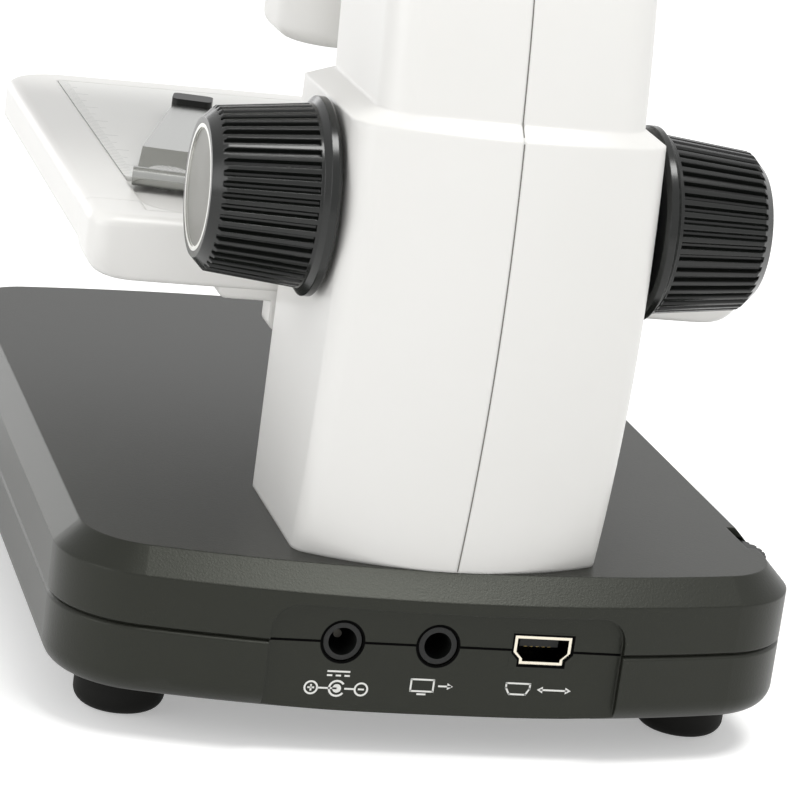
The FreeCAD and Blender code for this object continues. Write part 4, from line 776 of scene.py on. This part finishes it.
NOZZLE_RADIUS_MM = 2.62
gaps = [ring(x, seam_z_mm, NOZZLE_RADIUS_MM + GAP_MM, NOZZLE_RADIUS_MM) for x in (dc, av)]
gaps.append(frame_between(shell_outline(SHELL_PLAY_MM), shell_outline(GAP_MM)))
socket_gaps = on_panel("socket_gaps", gaps, gap_black, GAP_LIFT_MM)
plate_shape = frame_between(shell_outline(GAP_MM - PLATE_LAP_MM), window_outline())
window_plate = on_panel("window_plate", [plate_shape], base_black, PLATE_LIFT_MM)
print("gaps:", len(socket_gaps.data.polygons), "plate:", len(window_plate.data.polygons), "faces")

# %% [markdown]
# The stage's rear corners are squarer than its front ones, and they reach down as far as the
# apron between them. A bevelled box would round every edge alike, so the bar along the rear edge
# is built of level outlines, one under the other. Each is drawn in by the amount that makes its
# top edge and lower outer edges quarter rounds. Its arms run forward along the sides and end in a
# slant up to the tray.

# %% Stage rear bar
tray_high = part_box("stage_plate")[1] / MM
ARM_INNER_MM = 37.8
ARM_LENGTH_MM = 10.0
BAR_HEIGHT_MM = 8.6
BAR_DEPTH_MM = 4.7
BAR_PROUD_MM = 0.02
PLAN_ROUND_MM = 3.0
TOP_ROUND_MM = 1.6
LOW_ROUND_MM = 3.4
SLANT_MM = 3.8
TOP_LEVELS, LOW_LEVELS, PLAN_STEPS = 8, 10, 10
SHARP_ANGLE = math.radians(40)


def bar_levels():
    """Height and inset r (1 - cos a) of each level: a falls to 0 on top, then grows below."""
    top = np.radians(np.linspace(90, 0, TOP_LEVELS))
    low = np.radians(np.linspace(0, 90, LOW_LEVELS))
    top_z = tray_high.z + BAR_PROUD_MM
    heights = np.concatenate([top_z - TOP_ROUND_MM * (1 - np.sin(top)),
                              top_z - BAR_HEIGHT_MM + LOW_ROUND_MM * (1 - np.sin(low))])
    top_inset = TOP_ROUND_MM * (1 - np.cos(top))
    inset_x = np.concatenate([top_inset, LOW_ROUND_MM * (1 - np.cos(low))])
    inset_y = np.concatenate([top_inset, np.zeros(LOW_LEVELS)])
    slant = np.concatenate([np.zeros(TOP_LEVELS), SLANT_MM * np.sin(low)])
    return [values[:, None] for values in (heights, inset_x, inset_y, slant)]


def bar_corners():
    """Levels by points: an arm's inner side, its front, a quarter round, and the mirror image."""
    heights, inset_x, inset_y, slant = bar_levels()
    turn = np.radians(np.linspace(0, 90, PLAN_STEPS))[None, :]
    x_out = tray_high.x + BAR_PROUD_MM - inset_x
    y_out = tray_high.y + BAR_PROUD_MM - inset_y
    arm_front = tray_high.y - ARM_LENGTH_MM + slant
    inner = np.full_like(heights, ARM_INNER_MM)
    half_x = np.concatenate([inner, inner, x_out,
                             x_out - PLAN_ROUND_MM * (1 - np.cos(turn))], axis=1)
    half_y = np.concatenate([np.full_like(heights, tray_high.y - BAR_DEPTH_MM), arm_front,
                             arm_front, y_out - PLAN_ROUND_MM * (1 - np.sin(turn))], axis=1)
    x = np.concatenate([half_x, -half_x[:, ::-1]], axis=1)
    y = np.concatenate([half_y, half_y[:, ::-1]], axis=1)
    return np.stack([x, y, np.broadcast_to(heights, x.shape)], axis=2)


def face_outwards(made):
    """Turns a closed mesh's faces outwards, and shades it smooth below the sharp angle."""
    work = bmesh.new()
    work.from_mesh(made.data)
    bmesh.ops.recalc_face_normals(work, faces=work.faces)
    work.to_mesh(made.data)
    work.free()
    made.data.shade_smooth()
    made.data.set_sharp_from_angle(angle=SHARP_ANGLE)
    return made


def stage_rear():
    """Quads between each level and the next, closed by the first level and the last."""
    corners = bar_corners()
    levels, count = corners.shape[:2]
    index = np.arange(levels * count).reshape(levels, count)
    after = np.roll(index, -1, axis=1)
    sides = np.stack([index[:-1], after[:-1], after[1:], index[1:]], axis=2).reshape(-1, 4)
    faces = sides.tolist() + [index[0].tolist(), index[-1].tolist()]
    return face_outwards(piece("stage_rear_bar", corners.reshape(-1, 3), faces, white, "stage"))


rear_bar = stage_rear()
print("stage rear bar:", len(rear_bar.data.polygons), "faces")

# %% [markdown]
# The studio is a white floor and a white world. More light would whiten the background too, but it
# would bleach the white plastic. So the camera, mirrors and glass see plain white, while the light
# that falls on the object is set lower, and the plastic keeps its shape.

# %% World
world = bpy.data.worlds.new("studio")
scene.world = world
world.use_nodes = True
sky = world.node_tree
sky.nodes.clear()
SKY_LIGHT = 0.62
path = add(sky, "LightPath")
seen = add(sky, "Math", {0: path.outputs["Is Camera Ray"], 1: path.outputs["Is Glossy Ray"]},
           operation="MAXIMUM")
seen = add(sky, "Math", {0: seen.outputs[0], 1: path.outputs["Is Transmission Ray"]},
           operation="MAXIMUM")
lit = add(sky, "Background", {"Color": linear("#FFFFFE"), "Strength": SKY_LIGHT})
shown = add(sky, "Background", {"Color": (1, 1, 1, 1), "Strength": 1.0})
mixed = add(sky, "MixShader", {0: seen.outputs[0], 1: lit.outputs[0], 2: shown.outputs[0]})
add(sky, "OutputWorld", {"Surface": mixed.outputs[0]})
print("sky light", SKY_LIGHT)

# %% [markdown]
# The floor is a sheet of matt paper. Plain white paper renders grey in soft light, so the camera
# sees a little glow added to it, which lifts it to white and leaves the object's shadow.

# %% Floor
FLOOR_SIZE = 3.0
FLOOR_GLOW = 0.35


def floor_finish():
    """Matt white paper; the camera sees it as white, with the object's shadow left on it."""
    material, tree, shader = finish("paper_matt", Roughness=0.9, Base_Color=linear("#F2F2F2"))
    path = add(tree, "LightPath")
    glow = add(tree, "Emission", {"Color": (1, 1, 1, 1), "Strength": FLOOR_GLOW})
    both = add(tree, "AddShader", {0: shader.outputs[0], 1: glow.outputs[0]})
    seen = add(tree, "Math", {0: path.outputs["Is Camera Ray"],
                              1: path.outputs["Is Glossy Ray"]}, operation="MAXIMUM")
    mixed = add(tree, "MixShader", {0: seen.outputs[0], 1: shader.outputs[0],
                                    2: both.outputs[0]})
    tree.links.new(mixed.outputs[0], tree.nodes["Material Output"].inputs["Surface"])
    return material


def sheet_mesh(name, half, z):
    """Flat square of four corners at one height."""
    corners = np.array([(-half, -half, z), (half, -half, z), (half, half, z), (-half, half, z)])
    mesh = bpy.data.meshes.new(name)
    mesh.from_pydata(corners.tolist(), [], [(0, 1, 2, 3)])
    sheet = bpy.data.objects.new(name, mesh)
    scene.collection.objects.link(sheet)
    return sheet


floor = sheet_mesh("floor", FLOOR_SIZE / 2, 0.0)
floor.data.materials.append(floor_finish())
print("floor", FLOOR_SIZE, "m")

# %% [markdown]
# Soft boxes light a product better than bare bulbs, because their reflections are wide and even.
# The large one above and behind the object makes the highlight along the base's bevel: it hangs
# where a mirror on that bevel would send the camera's line of sight. The box on the left lifts the
# column's left face, the one in front edges the stage and base, and the rear one only fills.

# %% Lamps
MIDDLE = (0.0, 0.0, 0.06)


def lamp(name, place, size, watts, colour="#FFFFFF"):
    """Oblong area lamp at a place, turned towards the object's middle."""
    data = bpy.data.lights.new(name, "AREA")
    data.shape = "RECTANGLE"
    data.size, data.size_y = size
    data.energy = watts
    data.color = linear(colour)[:3]
    light = bpy.data.objects.new(name, data)
    scene.collection.objects.link(light)
    light.location = place
    light.rotation_euler = (Vector(MIDDLE) - Vector(place)).to_track_quat("-Z", "Y").to_euler()
    return light


lamps = [lamp("top_box", (-0.3, 0.4, 1.5), (0.75, 0.4), 12.5, "#FFFFFD"),
         lamp("rear_box", (-0.9, 1.3, 0.7), (0.9, 0.9), 0.2),
         lamp("left_box", (1.2, 0.5, 0.5), (0.8, 0.8), 4.6),
         lamp("rim_box", (0.6, -1.45, 0.2), (0.8, 0.4), 2.0)]
print("lamps:", [(light.name, light.data.energy) for light in lamps])

# %% [markdown]
# The last cell prints that the scene is dressed.

# %% Finish
print("scene dressed")
